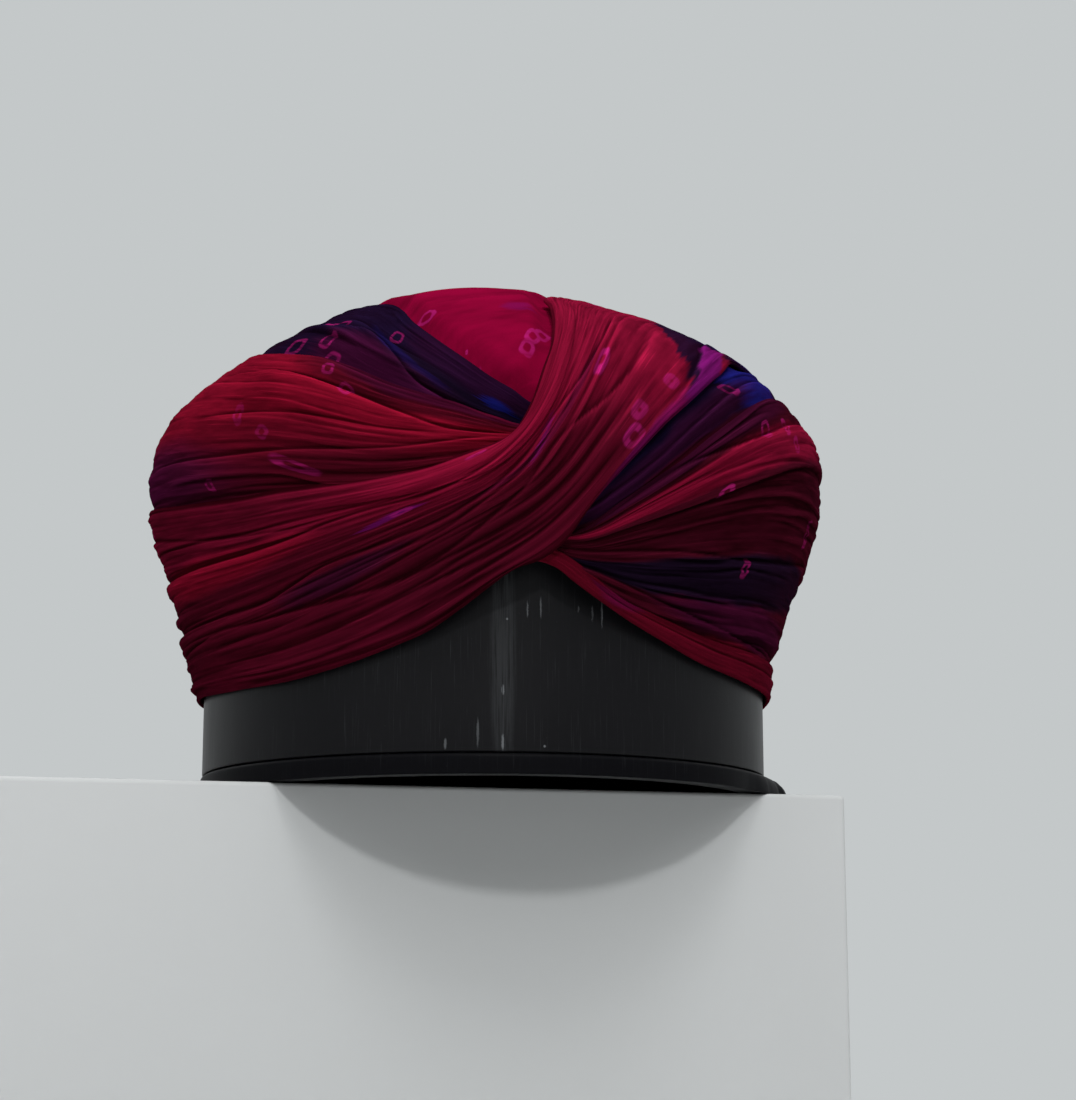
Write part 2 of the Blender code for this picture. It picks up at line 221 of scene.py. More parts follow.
CROSSING_LIPS = (
    Lip(1.5, -7, ((0.16, 0.6), (0.3, 0.62), (0.363, 0.645), (0.424, 0.66), (0.474, 0.7), (0.5, 0.67),
                  (0.54, 0.74), (0.6, 0.8))),
    Lip(1.6, -6, ((0.22, 0.34), (0.363, 0.34), (0.4, 0.33), (0.44, 0.39), (0.476, 0.35), (0.5, 0.33),
                  (0.54, 0.46), (0.567, 0.52), (0.598, 0.4), (0.68, 0.36))),
    Lip(1, -4, ((0.42, 0.29), (0.465, 0.29), (0.496, 0.27), (0.54, 0.37), (0.567, 0.42), (0.598, 0.33))),
    Lip(0.9, -5, ((0.2, 0.88), (0.291, 0.85), (0.396, 0.763), (0.426, 0.732), (0.46, 0.73))),
    Lip(1.2, -4, ((0.24, 0.22), (0.313, 0.247), (0.359, 0.268), (0.402, 0.247), (0.467, 0.182),
                  (0.509, 0.167), (0.6, 0.15))),
    Lip(0.9, -3, ((0.34, 0.12), (0.415, 0.121), (0.478, 0.131), (0.504, 0.116), (0.56, 0.1))),
    Lip(0.9, -3, ((0.42, 0.18), (0.454, 0.18), (0.5, 0.197), (0.537, 0.258), (0.557, 0.298),
                  (0.593, 0.212), (0.68, 0.2))),
    Lip(1, 2.2, ((-0.05, 0.05), (0.341, 0.056), (0.4, 0.056), (0.47, 0.081), (0.53, 0.06))),
    Lip(0.7, 1.4, ((0.34, 0.028), (0.435, 0.035), (0.5, 0.03), (0.55, 0.025))),
    Lip(0.9, -3.5, ((0.6, 0.03), (0.633, 0.052), (0.66, 0.078), (0.683, 0.098), (0.74, 0.13))),
)
LEFT_LIPS = (
    Lip(1.6, -9, ((0.74, 0.87), (0.78, 0.85), (0.831, 0.83), (0.874, 0.81), (0.901, 0.77), (0.936, 0.68),
                  (0.99, 0.75))),
    Lip(1, -5, ((0.62, 0.33), (0.74, 0.36), (0.806, 0.39), (0.864, 0.44), (0.914, 0.5), (0.98, 0.66))),
    Lip(1.2, 5, ((0.66, 0.24), (0.76, 0.27), (0.809, 0.26), (0.846, 0.2), (0.885, 0.21), (0.94, 0.3))),
    Lip(0.9, -4, ((0.7, 0.56), (0.8, 0.6), (0.87, 0.62), (0.94, 0.62))),
)
NAVY_LIPS = (
    Lip(1.2, -9, ((0.66, 0.44), (0.761, 0.5), (0.802, 0.56), (0.839, 0.53), (0.886, 0.35), (0.911, 0.31),
                  (0.935, 0.26), (0.99, 0.42))),
)
RIGHT_LIPS = (
    Lip(1.2, -6, ((0.06, 0.98), (0.109, 0.98), (0.141, 0.91), (0.29, 0.87), (0.42, 0.86))),
    Lip(1.3, 6, ((0.03, 0.66), (0.079, 0.67), (0.134, 0.65), (0.188, 0.67), (0.32, 0.73), (0.44, 0.74))),
    Lip(1, -9, ((0.02, 0.5), (0.045, 0.48), (0.083, 0.44), (0.159, 0.39), (0.206, 0.36), (0.25, 0.35),
                (0.39, 0.41))),
    Lip(0.8, -4, ((0.04, 0.23), (0.07, 0.21), (0.133, 0.18), (0.201, 0.18), (0.333, 0.2))),
    Lip(1.2, -5, ((0.03, 0.24), (0.099, 0.17), (0.182, 0.11), (0.3, 0.05), (0.36, 0.04))),
)
SIDE_LIPS = (
    Lip(0.8, -5, ((0.05, 0.3), (0.25, 0.34), (0.5, 0.42), (0.7, 0.45))),
)
HEM_LIPS = (
    Lip(0.6, -2.5, ((0.05, 0.62), (0.4, 0.6), (1.05, 0.6))),
)

# How far the pleats climb across a stretch: share along it, climb as a share of its width
STRAIGHT = ((0, 0), (1, 0))
CROSSING_CLIMB = ((0, 0), (0.33, 0), (0.37, 0.07), (0.41, 0.16), (0.45, 0.27), (0.49, 0.4),
                  (0.53, 0.45), (0.7, 0.42), (0.85, 0.2), (1, 0.1))
# Share of the width, from the lower edge, over which the climb sets in
CLIMB_EDGE = 0.35
# How far a stretch swells out between its edges, and how high its upper edge is rolled:
# share along it, height in mm
FLAT_LAID = ((0, 0), (1, 0))
CROSSING_SWELL = ((0, 0), (0.36, 0), (0.46, 2), (0.53, 3.2), (0.6, 2.4), (0.68, 0.6), (0.76, 0),
                  (1, 0))
CROSSING_ROLL = ((0, 0), (0.36, 0.2), (0.44, 1), (0.52, 1.9), (0.6, 1.2), (0.68, 0.5), (0.8, 0),
                 (1, 0))
ROLL_WIDTH = 6.5 * MM

# How strong the fine pleats are: share along a stretch, strength
EVEN = ((0, 1), (1, 1))
CROSSING_STRENGTH = ((0, 0.6), (0.3, 0.6), (0.42, 0.75), (0.52, 1.1), (0.58, 0.75), (0.64, 0.42),
                     (0.76, 0.42), (1, 0.6))
RIGHT_STRENGTH = ((0, 1.1), (0.16, 1), (0.3, 0.8), (0.5, 0.7), (1, 0.6))
LEFT_STRENGTH = ((0, 0.5), (0.6, 0.35), (0.72, 0.45), (0.84, 0.85), (0.95, 1.1), (1, 1))

# A stretch as it is laid: stations, lips, count of fine pleats, share of them that face up, length
# in mm over which its pleats' bends are eased, columns and rows of the mesh, the number that seeds
# its chance, how strong its pleats are, its climb, swell and roll, and the power that crowds the
# pleats to the lower edge. Each stretch is covered by the ones above it.
Layer = namedtuple("Layer", "stations lips pleats facing_up ease columns rows seed"
                   " strength climb swell roll crowd", defaults=(EVEN, STRAIGHT, FLAT_LAID, FLAT_LAID, 1.0))
LAYERS = {
    "crossing_band": Layer(CROSSING_BAND, CROSSING_LIPS, 62, 0.75, 14.0, 460, 198, 11,
                           CROSSING_STRENGTH, CROSSING_CLIMB, CROSSING_SWELL, CROSSING_ROLL),
    "hem_fold": Layer(HEM_FOLD, HEM_LIPS, 3, 0.5, 0.0, 340, 24, 12),
    "right_fan": Layer(RIGHT_FAN, RIGHT_LIPS, 52, 0.6, 7.0, 310, 180, 13, RIGHT_STRENGTH),
    "upper_left_fan": Layer(UPPER_LEFT_FAN, LEFT_LIPS, 44, 0.7, 5.0, 330, 170, 14, LEFT_STRENGTH, crowd=2.0),
    "side_fold": Layer(SIDE_FOLD, SIDE_LIPS, 8, 0.5, 7.0, 200, 80, 15),
    "navy_fold": Layer(NAVY_FOLD, NAVY_LIPS, 10, 0.5, 5.0, 310, 110, 16),
}
# Rows of the mesh that an edge's turned strip takes, and the share of them in the round itself
HEM_ROWS = 5
TURN_SHARE = 0.6
# Steps along and across a stretch at which its border is read
BORDER_STEPS = (160, 12)
# Lips fade out over this share of the stretch at their ends, and all folds over END_FADE at its ends
LIP_FADE = 0.04
END_FADE = 9.0 * MM
# A lip's groove: depth as a share of its height, distance from the line in widths of its crease
GROOVE_DEPTH = 0.25
GROOVE_PLACE = 0.7
# Folds die away over this distance under a cover
HIDDEN_EDGE = 6.0 * MM
# Step in degrees for the outward direction, and the elevation above which it stays the same
NORMAL_STEP = 0.5
NORMAL_TOP = 88.0
# Pleats are at full size where a stretch is this wide, and keep to these shares of it
GATHER_WIDTH = 50.0 * MM
GATHER_RANGE = (0.3, 1.2)
# Fine pleats drawn by chance: place within an even share, height and reach as shares of the
# greatest, turns of their slow waves, how far the waves shift them, and how strong they stay
PLEAT_PLACE = (0.05, 0.95)
PLEAT_HEIGHT = (0.35, 1.0)
PLEAT_REACH = (0.15, 1.0)
PLEAT_TURNS = (1.5, 5.0)
PLEAT_SHIFT = (0.009, 0.004)
PLEAT_STRENGTH = (0.5, 0.6, 0.25)
# Short creases: count for each pleat, start and run along the stretch, drift across it, share of
# the greatest height, reach of the slope, and width as a share of a ply's crease
CREASE_COUNT = 2.5
CREASE_START = (-0.1, 1.0)
CREASE_RUN = (0.05, 0.22)
CREASE_DRIFT = (-0.03, 0.03)
CREASE_HEIGHT = (0.4, 1.0)
CREASE_REACH = 1.2 * MM
CREASE_SHARE = 0.6
# Waves and crinkles: the setting that holds their height, a share of it, length and width in mm
CLOTH_WAVES = (
    ("wave_height", 1.0, 28.0, 9.0),
    ("wave_height", 0.5, 40.0, 3.2),
    ("crinkle_height", 1.0, 9.0, 1.5),
    ("crinkle_height", 0.5, 3.5, 0.8),
)
# Where the random hills start, clear of zero, in mm
WAVE_START = 20.0
# Ridges and valleys are told apart over this many rows of the mesh, and this much in height;
# ridges are given a painted highlight and valleys a painted shade
SHADE_PASSES = 32
SHADE_DEPTH = 0.34 * MM

# Crown: steps round it and up it, how far it stands out where bare and sinks where covered
CROWN_COLUMNS = 300
CROWN_RINGS = 120
CROWN_RISE = 1.2 * MM
CROWN_SINK = 1.3 * MM
# Degrees of the flat map round the top that the cloth's map spans
CROWN_CHART = 180.0
# The crown's lower edge: azimuth and elevation in degrees
CROWN_RIM = (
    (-180, -26),
    (-100, -26),
    (-60, -25),
    (-28, -20),
    (0, -8),
    (14, -7),
    (38, -16),
    (70, -25),
    (120, -26),
    (180, -26),
)
# The hollow inside the crown: height and radius in mm, and the height of its top
CROWN_HOLLOW = (
    (112.3, 84),
    (122, 80),
    (131, 70),
    (139, 56),
    (144.5, 40),
    (148, 20),
)
CROWN_HOLLOW_TOP = 149.0 * MM
SEAT_GAP = 0.3 * MM
# Soft folds over the crown: count, spacing, turn in degrees, length of a degree over the crown,
# greatest bend in mm over a span, range of height and reach in mm, crease
SOFT_FOLDS = 14
SOFT_FOLD_SEED = 21
SOFT_FOLD_GAP = 13.0 * MM
SOFT_FOLD_TURN = 28.0
DEGREE = 1.6 * MM
SOFT_FOLD_BEND = 6.0 * MM
SOFT_FOLD_SPAN = 90.0 * MM
SOFT_FOLD_HEIGHT = (0.1, 0.4)
SOFT_FOLD_REACH = (6.0, 14.0)
SOFT_FOLD_CREASE = 3.0 * MM
# How far a soft fold strays from its even place, as a share of the spacing
SOFT_FOLD_STRAY = 0.35
# Waves of the crown's cloth: height, then length and width in mm; and those of its crinkles
CROWN_WAVE_HEIGHT = 0.5 * MM
CROWN_WAVE = (70.0, 15.0)
CROWN_CRINKLE = (40.0, 4.0)
CROWN_WAVE_START = 300.0
# Height at which a soft fold's ridge takes its full painted highlight and a valley its full painted shade
CROWN_SHADE_DEPTH = 2.0 * MM

# Ragged lip left on the foot: azimuth in degrees, reach past the ring in mm
FOOT_LIP = (
    (64, 0),
    (71, 2),
    (77.5, 3.4),
    (84, 6),
    (90, 5.2),
    (96.5, 6.8),
    (103, 3),
    (109.5, 0),
)
# Waves of the lip's ragged edge: share of its reach, and radians for each degree round the foot
LIP_WAVES = ((0.12, 2.3), (0.08, 5.1))

# Stage: the plinth's gap under the stand and its rounded edges, and the reach of the floor
PLINTH_GAP = 0.2 * MM
PLINTH_BEVEL = 1.5 * MM
FLOOR_RADIUS = 5.0
# Mottle of the paint: grains in each metre, and how much the paint's brightness varies
MOTTLE_GRAIN = (9.0, 9.0, 9.0)
MOTTLE_DEPTH = 0.06
# A light of the stage: where it stands, what it faces, and its width and height, in metres
Lamp = namedtuple("Lamp", "place aim size")
LAMPS = {
    "key": Lamp((0.10, -0.60, 1.10), (0.0, 0.0, 0.08), (0.6, 0.4)),
    "front": Lamp((0.18, -1.05, 0.76), (0.0, 0.0, 0.04), (0.12, 0.07)),
    "ceiling": Lamp((0.0, 0.0, 4.5), (0.0, 0.0, 0.0), (14.0, 14.0)),
    "fill": Lamp((-0.9, -1.3, 0.35), (0.0, 0.0, 0.06), (1.2, 1.0)),
    "strip": Lamp((0.14, -1.4, 0.15), (0.0, -0.09, 0.04), (0.10, 0.8)),
}

# Camera: where it stands, what it looks at, and the photograph's focal length and height in pixels
CAMERA_PLACE = Vector((0.0, -0.750, -0.0631))
CAMERA_AIM = Vector((0.0175, 0.0, 0.082))
FOCAL_PIXELS = 2328.0
PICTURE_HEIGHT = 1100.0
SENSOR = 36.0


def length_setting(name, description, default, least=0.0):
    return FloatProperty(name=name, description=description, default=default, min=least, unit="LENGTH")


def colour_setting(name, description, default):
    return FloatVectorProperty(name=name, description=description, default=default, min=0.0, max=1.0,
                               subtype="COLOR")


def power_setting(name, description, default):
    return FloatProperty(name=name, description=description + ", in watts", default=default, min=0.0)


class TurbanCloth(bpy.types.PropertyGroup):
    """Sizes of the cloth's folds"""

    ply_step: length_setting("Ply step", "Depth that a stretch drops under the one that covers it",
                             2.0 * MM)
    dip_width: length_setting("Dip width", "Width of the slope where a stretch drops under another",
                              8.0 * MM, least=1.0 * MM)
    roll_radius: length_setting("Edge roll", "Radius of the turned-under edges", 0.7 * MM, least=0.1 * MM)
    tuck: length_setting("Tuck", "Width of the strip turned under at every edge", 2.5 * MM)
    crease_width: length_setting("Crease width", "Width of the steep face at the edge of a folded ply",
                                 0.6 * MM, least=0.1 * MM)
    pleat_height: length_setting("Pleat height", "Greatest height of the fine pleats", 1.125 * MM)
    pleat_reach: length_setting("Pleat reach", "Greatest width of the slope behind a fine pleat",
                                4.5 * MM, least=0.1 * MM)
    crease_height: length_setting("Crease height", "Greatest height of the short fine creases", 0.28 * MM)
    wave_height: length_setting("Wave height", "Height of the soft waves along the cloth", 0.35 * MM)
    crinkle_height: length_setting("Crinkle height", "Height of the smallest crinkles that are modelled",
                                   0.12 * MM)


class TurbanDyes(bpy.types.PropertyGroup):
    """Colours of the dyed cloth; the dark red one is partly painted shade"""

    crimson: colour_setting("Crimson", "Ground colour of the crossing band", (0.205, 0.0045, 0.026))
    pink: colour_setting("Pink crimson", "Ground colour of the crown", (0.225, 0.0013, 0.028))
    red: colour_setting("Red", "Warm red of the outer fans", (0.208, 0.0037, 0.018))
    # Maroon is partly the cloth's own dark red and partly painted shade: it darkens the lower cloth and the
    # cloth between the bands, where less light falls
    maroon: colour_setting("Maroon", "Dark red between the bands", (0.040, 0.0024, 0.008))
    navy: colour_setting("Navy", "Near-black blue of the dark bands", (0.007, 0.0035, 0.018))
    night: colour_setting("Night", "Near-black of the darkest band", (0.007, 0.003, 0.010))
    blue: colour_setting("Blue", "Brighter blue where the navy thins out", (0.006, 0.008, 0.110))
    purple: colour_setting("Purple", "Dark purple where navy meets red", (0.050, 0.004, 0.030))
    plum: colour_setting("Plum", "Dark plum between navy and red", (0.034, 0.003, 0.020))
    magenta: colour_setting("Magenta", "Bright pink purple at the margins", (0.130, 0.005, 0.100))
    resist: colour_setting("Resist", "Pink of the tied rings", (0.400, 0.012, 0.150))


class TurbanStand(bpy.types.PropertyGroup):
    """Sizes and finish of the display stand"""

    wall: length_setting("Wall", "Thickness of the tube's wall", 3.0 * MM, least=0.5 * MM)
    segments: IntProperty(
        name="Segments", description="Steps round the stand", default=240, min=24)
    plastic: colour_setting("Plastic", "Colour of the black plastic", (0.004, 0.004, 0.005))
    # This pale colour of dust and scratches also paints the reflection streak down the tube's front
    scratch_and_reflection: colour_setting("Scratch", "Colour of dust and scratches", (0.16, 0.17, 0.18))


class TurbanStage(bpy.types.PropertyGroup):
    """Sizes and light of the stage"""

    plinth_width: length_setting("Plinth width", "Width of the pale plinth", 0.52, least=0.1)
    plinth_right: length_setting("Plinth right", "Distance of the plinth's right side from the stand's axis",
                                 0.1045)
    plinth_turn: FloatProperty(
        name="Plinth turn", description="How far the plinth is turned out of line with the front",
        default=math.radians(13.3), subtype="ANGLE")
    plinth_front: length_setting("Plinth front", "Distance of the plinth's front edge from the stand's axis",
                                 0.0490)
    plinth_depth: length_setting("Plinth depth", "Depth of the plinth", 0.36, least=0.1)
    floor_drop: length_setting("Floor drop", "Height of the plinth over the floor", 0.40, least=0.1)
    plinth_paint: colour_setting("Plinth paint", "Colour of the plinth", (0.56, 0.577, 0.580))
    floor_paint: colour_setting("Floor paint", "Colour of the floor", (0.73, 0.74, 0.74))
    backdrop: colour_setting("Backdrop", "Colour of the far background", (0.552, 0.578, 0.584))
    room_light: FloatProperty(
        name="Room light", description="Share of the backdrop's brightness that lights the cloth",
        default=0.05, min=0.0, max=1.0)
    key_power: power_setting("Key power", "Power of the soft light overhead", 4.8)
    front_power: power_setting("Front power", "Power of the small lamp that draws the crisp shadow", 3.9)
    ceiling_power: power_setting("Ceiling power", "Power of the wide light over the whole floor",
                                 620.0)
    fill_power: power_setting("Fill power", "Power of the broad light in front", 0.9)
    strip_power: power_setting("Strip power", "Power of the tall strip that draws the tube's streak", 0.5)


def spline(knots, values, x):
    """A smooth curve through the rows of values, read at x; slopes come from the neighbours."""
    knots = np.asarray(knots, float)
    values = np.asarray(values, float)
    x = np.asarray(x, float)
    slopes = np.gradient(values, knots, axis=0)
    i = np.clip(np.searchsorted(knots, x, side="right") - 1, 0, len(knots) - 2)
    step = knots[i + 1] - knots[i]
    s = ((x - knots[i]) / step)[..., None]
    step = step[..., None]
    return ((1 + 2 * s) * (1 - s) ** 2 * values[i] + s * (1 - s) ** 2 * step * slopes[i]
            + s * s * (3 - 2 * s) * values[i + 1] + s * s * (s - 1) * step * slopes[i + 1])


def smooth_line(points, x):
    """A smooth curve through a table's pairs, held level past its ends."""
    knots, values = zip(*points)
    return spline(knots, np.array(values)[:, None], np.clip(x, knots[0], knots[-1]))[..., 0]


def smooth_step(x):
    x = np.clip(x, 0.0, 1.0)
    return x * x * (3 - 2 * x)


def body_table():
    """Elevation knots by the length of the profile, and the body's rows run on over the top."""
    rows = np.array(BODY) * MM
    half = rows[:, 1:3].mean(axis=1)
    length = np.concatenate(([0.0], np.cumsum(np.hypot(np.diff(rows[:, 0]), np.diff(half)))))
    share = (length - length[HEM_ROW]) / (length[-1] - length[HEM_ROW])
    knots = HEM_ELEVATION + (90.0 - HEM_ELEVATION) * share
    mirrored = rows[-2:-4:-1] * np.array((1.0, -1.0, -1.0, -1.0, -1.0))
    knots = np.concatenate((knots, 180.0 - knots[-2:-4:-1]))
    return knots, np.vstack((rows, mirrored))


BODY_KNOTS, BODY_ROWS = body_table()


def body_point(azimuth, elevation):
    """A point of the outer form; azimuth is 0 at the front and grows to the right."""
    a = np.radians(azimuth)
    row = np.moveaxis(spline(BODY_KNOTS, BODY_ROWS, elevation), -1, 0)
    height, left, right, front, back = row
    across = np.where(np.sin(a) < 0, left, right)
    along = np.where(np.cos(a) < 0, back, front)
    return np.stack((across * np.sin(a), -along * np.cos(a), height), axis=-1)


def body_normal(azimuth, elevation):
    """The outward direction of the outer form, the same for every layer of cloth."""
    azimuth, elevation = np.broadcast_arrays(azimuth, np.minimum(elevation, NORMAL_TOP))
    step = NORMAL_STEP
    along = body_point(azimuth + step, elevation) - body_point(azimuth - step, elevation)
    up = body_point(azimuth, elevation + step) - body_point(azimuth, elevation - step)
    normal = np.cross(along, up)
    return normal / np.linalg.norm(normal, axis=-1, keepdims=True)


class Stretch:
    """A stretch of cloth between two edges, with a share along it and a share across it."""

    def __init__(self, stations):
        self.rows = np.array(stations)
        middle = 0.5 * (self.rows[:, :2] + self.rows[:, 2:])
        points = body_point(middle[:, 0], middle[:, 1])
        length = np.cumsum(np.linalg.norm(np.diff(points, axis=0), axis=1))
        self.length = length[-1]
        self.knots = np.concatenate(([0.0], length)) / length[-1]

    def place(self, along, across):
        """Azimuth and elevation at a share along the stretch and a share across it."""
        edge = spline(self.knots, self.rows, along)
        across = np.asarray(across)[..., None]
        place = edge[..., :2] * (1 - across) + edge[..., 2:] * across
        return place[..., 0], place[..., 1]

    def width(self, along):
        """Distance between the two edges."""
        zero = np.zeros_like(along)
        low = body_point(*self.place(along, zero))
        high = body_point(*self.place(along, zero + 1))
        return np.linalg.norm(high - low, axis=-1)

    def outline(self):
        """Azimuth and elevation round the stretch's border."""
        count, ends = BORDER_STEPS
        along = np.linspace(0.0, 1.0, count)
        side = np.linspace(0.0, 1.0, ends)[1:-1]
        low = self.place(along, np.zeros(count))
        end = self.place(np.ones(len(side)), side)
        high = self.place(along[::-1], np.ones(count))
        start = self.place(np.zeros(len(side)), side[::-1])
        return [np.concatenate(parts) for parts in zip(low, end, high, start)]


def chart(azimuth, elevation):
    """A flat map round the top of the head, in degrees from it."""
    a = np.radians(azimuth)
    reach = 90.0 - np.asarray(elevation)
    return reach * np.sin(a), -reach * np.cos(a)


def depth_inside(stretch, azimuth, elevation):
    """Distance from the stretch's border, above zero inside it and below zero outside."""
    border = stretch.outline()
    starts = body_point(*border)
    runs = np.roll(starts, -1, axis=0) - starts
    bx, by = chart(*border)
    cx, cy = np.roll(bx, -1), np.roll(by, -1)
    points = body_point(azimuth, elevation)
    px, py = chart(azimuth, elevation)
    nearest = np.full(len(points), np.inf)
    inside = np.zeros(len(points), bool)
    for i, (start, run) in enumerate(zip(starts, runs)):
        way = points - start
        share = np.clip(way @ run / max(run @ run, 1e-12), 0.0, 1.0)
        way -= share[:, None] * run
        nearest = np.minimum(nearest, np.einsum("ij,ij->i", way, way))
        if by[i] != cy[i]:
            level = (by[i] > py) != (cy[i] > py)
            inside ^= level & (px < (cx[i] - bx[i]) * (py - by[i]) / (cy[i] - by[i]) + bx[i])
    distance = np.sqrt(nearest)
    return np.where(inside, distance, -distance)


def waves(x, y, chance):
    """Smooth random hills from -1 to 1; x and y are above zero, and a hill is a unit wide."""
    column, row = np.floor(x).astype(int), np.floor(y).astype(int)
    hills = chance.uniform(-1.0, 1.0, (column.max() + 2, row.max() + 2))
    s, t = smooth_step(x - column), smooth_step(y - row)
    low = hills[column, row] * (1 - s) + hills[column + 1, row] * s
    high = hills[column, row + 1] * (1 - s) + hills[column + 1, row + 1] * s
    return low * (1 - t) + high * t


def lip_relief(distance, height, reach, crease):
    """A steep face at the line, then a slope that dies away; a small groove at its foot."""
    face = smooth_step(distance / crease + 0.5)
    groove = GROOVE_DEPTH * np.exp(-((distance + GROOVE_PLACE * crease) / crease) ** 2)
    return height * (face * np.exp(-np.maximum(distance, 0.0) / reach) - groove)


def climbed(layer, along, across):
    """Share across the stretch where a pleat lies that would lie at `across` if none climbed."""
    climb = smooth_line(layer.climb, along)
    return across + climb * smooth_step(across / CLIMB_EDGE) * (1 - across)


def eased(grid, length, step):
    """The grid's rows, each run on as a smoother line; the first and last rows keep their places."""
    grid = grid.copy()
    keep = np.sin(np.pi * np.linspace(0.0, 1.0, len(grid)))[:, None] ** 0.6
    for _ in range(int(2 * (length / step) ** 2)):
        grid[:, 1:-1] += 0.5 * keep * (0.5 * (grid[:, :-2] + grid[:, 2:]) - grid[:, 1:-1])
    return grid


def named_lips(layer, along, across, grain, cloth):
    """Height of the folded plies whose edges the stretch's table names."""
    relief = np.zeros_like(grain)
    for lip in layer.lips:
        line = smooth_line(lip.line, along)
        ends = smooth_step((along - lip.line[0][0]) / LIP_FADE)
        ends *= smooth_step((lip.line[-1][0] - along) / LIP_FADE)
        distance = (across - line) * grain * np.sign(lip.reach)
        relief += ends * lip_relief(distance, lip.height * MM, abs(lip.reach) * MM, cloth.crease_width)
    return relief


def fine_pleats(layer, along, across, grain, gather, cloth, chance):
    """Height of the long fine pleats, each with its own drift and breaks along the stretch."""
    relief = np.zeros_like(grain)
    for number in range(layer.pleats):
        place = ((number + chance.uniform(*PLEAT_PLACE)) / layer.pleats) ** layer.crowd
        height = cloth.pleat_height * chance.uniform(*PLEAT_HEIGHT) ** 2
        reach = cloth.pleat_reach * chance.uniform(*PLEAT_REACH)
        side = -1.0 if chance.random() < layer.facing_up else 1.0
        phase = chance.uniform(0.0, 2 * math.pi, 4)
        turns = chance.uniform(*PLEAT_TURNS, 4)
        slow = np.sin(2 * math.pi * turns[0] * along + phase[0])
        quick = np.sin(6 * math.pi * turns[1] * along + phase[1])
        line = place + PLEAT_SHIFT[0] * slow + PLEAT_SHIFT[1] * quick
        level, swing, flicker = PLEAT_STRENGTH
        strength = level + swing * np.sin(2 * math.pi * turns[2] * along + phase[2])
        strength += flicker * np.sin(6 * math.pi * turns[3] * along + phase[3])
        relief += np.clip(strength, 0.0, 1.0) * gather * lip_relief(
            (across - line) * grain * side, height, reach * gather, cloth.crease_width)
    return relief * smooth_line(layer.strength, along)


def short_creases(layer, along, across, grain, gather, cloth, chance):
    """Height of the short fine creases that lie at a slant between the pleats."""
    relief = np.zeros_like(grain)
    for _ in range(int(CREASE_COUNT * layer.pleats)):
        line = chance.uniform(0.02, 0.98) ** layer.crowd
        start, run = chance.uniform(*CREASE_START), chance.uniform(*CREASE_RUN)
        line += chance.uniform(*CREASE_DRIFT) * (along - start) / run
        here = np.clip(4 * (along - start) * (start + run - along) / run ** 2, 0.0, 1.0)
        distance = (across - line) * grain * chance.choice((-1.0, 1.0))
        height = cloth.crease_height * chance.uniform(*CREASE_HEIGHT)
        relief += here * gather * lip_relief(
            distance, height, CREASE_REACH, CREASE_SHARE * cloth.crease_width)
    return relief


def fold_relief(layer, length, along, across, grain, cloth):
    """Height of the folds over the stretch: named lips, fine pleats, waves, crinkles and the roll.

    grain is the distance that a share of 1 across the stretch would span at each place.
    """
    chance = np.random.default_rng(layer.seed)
    gather = np.clip(grain / GATHER_WIDTH, *GATHER_RANGE)
    relief = named_lips(layer, along, across, grain, cloth)
    relief += fine_pleats(layer, along, across, grain, gather, cloth, chance)
    relief += short_creases(layer, along, across, grain, gather, cloth, chance)
    far = along * length / MM + WAVE_START + np.zeros_like(grain)
    wide = across * np.median(grain) / MM + WAVE_START + np.zeros_like(grain)
    for height, share, wave_length, wave_width in CLOTH_WAVES:
        relief += share * getattr(cloth, height) * waves(far / wave_length, wide / wave_width, chance)
    relief *= smooth_step(np.minimum(along, 1 - along) * length / END_FADE)
    swell = smooth_line(layer.swell, along) * MM * np.sqrt(np.clip(1 - (2 * across - 1) ** 2, 0.0, 1.0))
    from_top = (1 - across) * grain / (0.5 * ROLL_WIDTH) - 1
    roll = smooth_line(layer.roll, along) * MM * np.sqrt(np.clip(1 - from_top ** 2, 0.0, 1.0))
    return relief + swell + roll


def turned_edge(share, cloth):
    """How far out and how far down the turned edge goes, from the edge (0) to its end (1)."""
    turn = np.pi * np.clip(share / TURN_SHARE, 0.0, 1.0)
    back = np.clip((share - TURN_SHARE) / (1 - TURN_SHARE), 0.0, 1.0)
    return cloth.roll_radius * np.sin(turn) - cloth.tuck * back, cloth.roll_radius * (1 - np.cos(turn))


def new_piece(name, bm, material):
    mesh = bpy.data.meshes.new(name)
    bm.to_mesh(mesh)
    bm.free()
    mesh.shade_smooth()
    mesh.materials.append(material)
    piece = bpy.data.objects.new(name + "_finish", mesh)
    bpy.context.scene.collection.objects.link(piece)
    return piece


def coordinates(mesh):
    """The places of a mesh's vertices."""
    flat = np.empty(len(mesh.vertices) * 3)
    mesh.vertices.foreach_get("co", flat)
    return flat.reshape(-1, 3)


def settle(piece, node):
    """The piece rides on its body, and the node that it stands in for is hidden."""
    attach(piece, BODY_NAME)
    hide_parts(node)


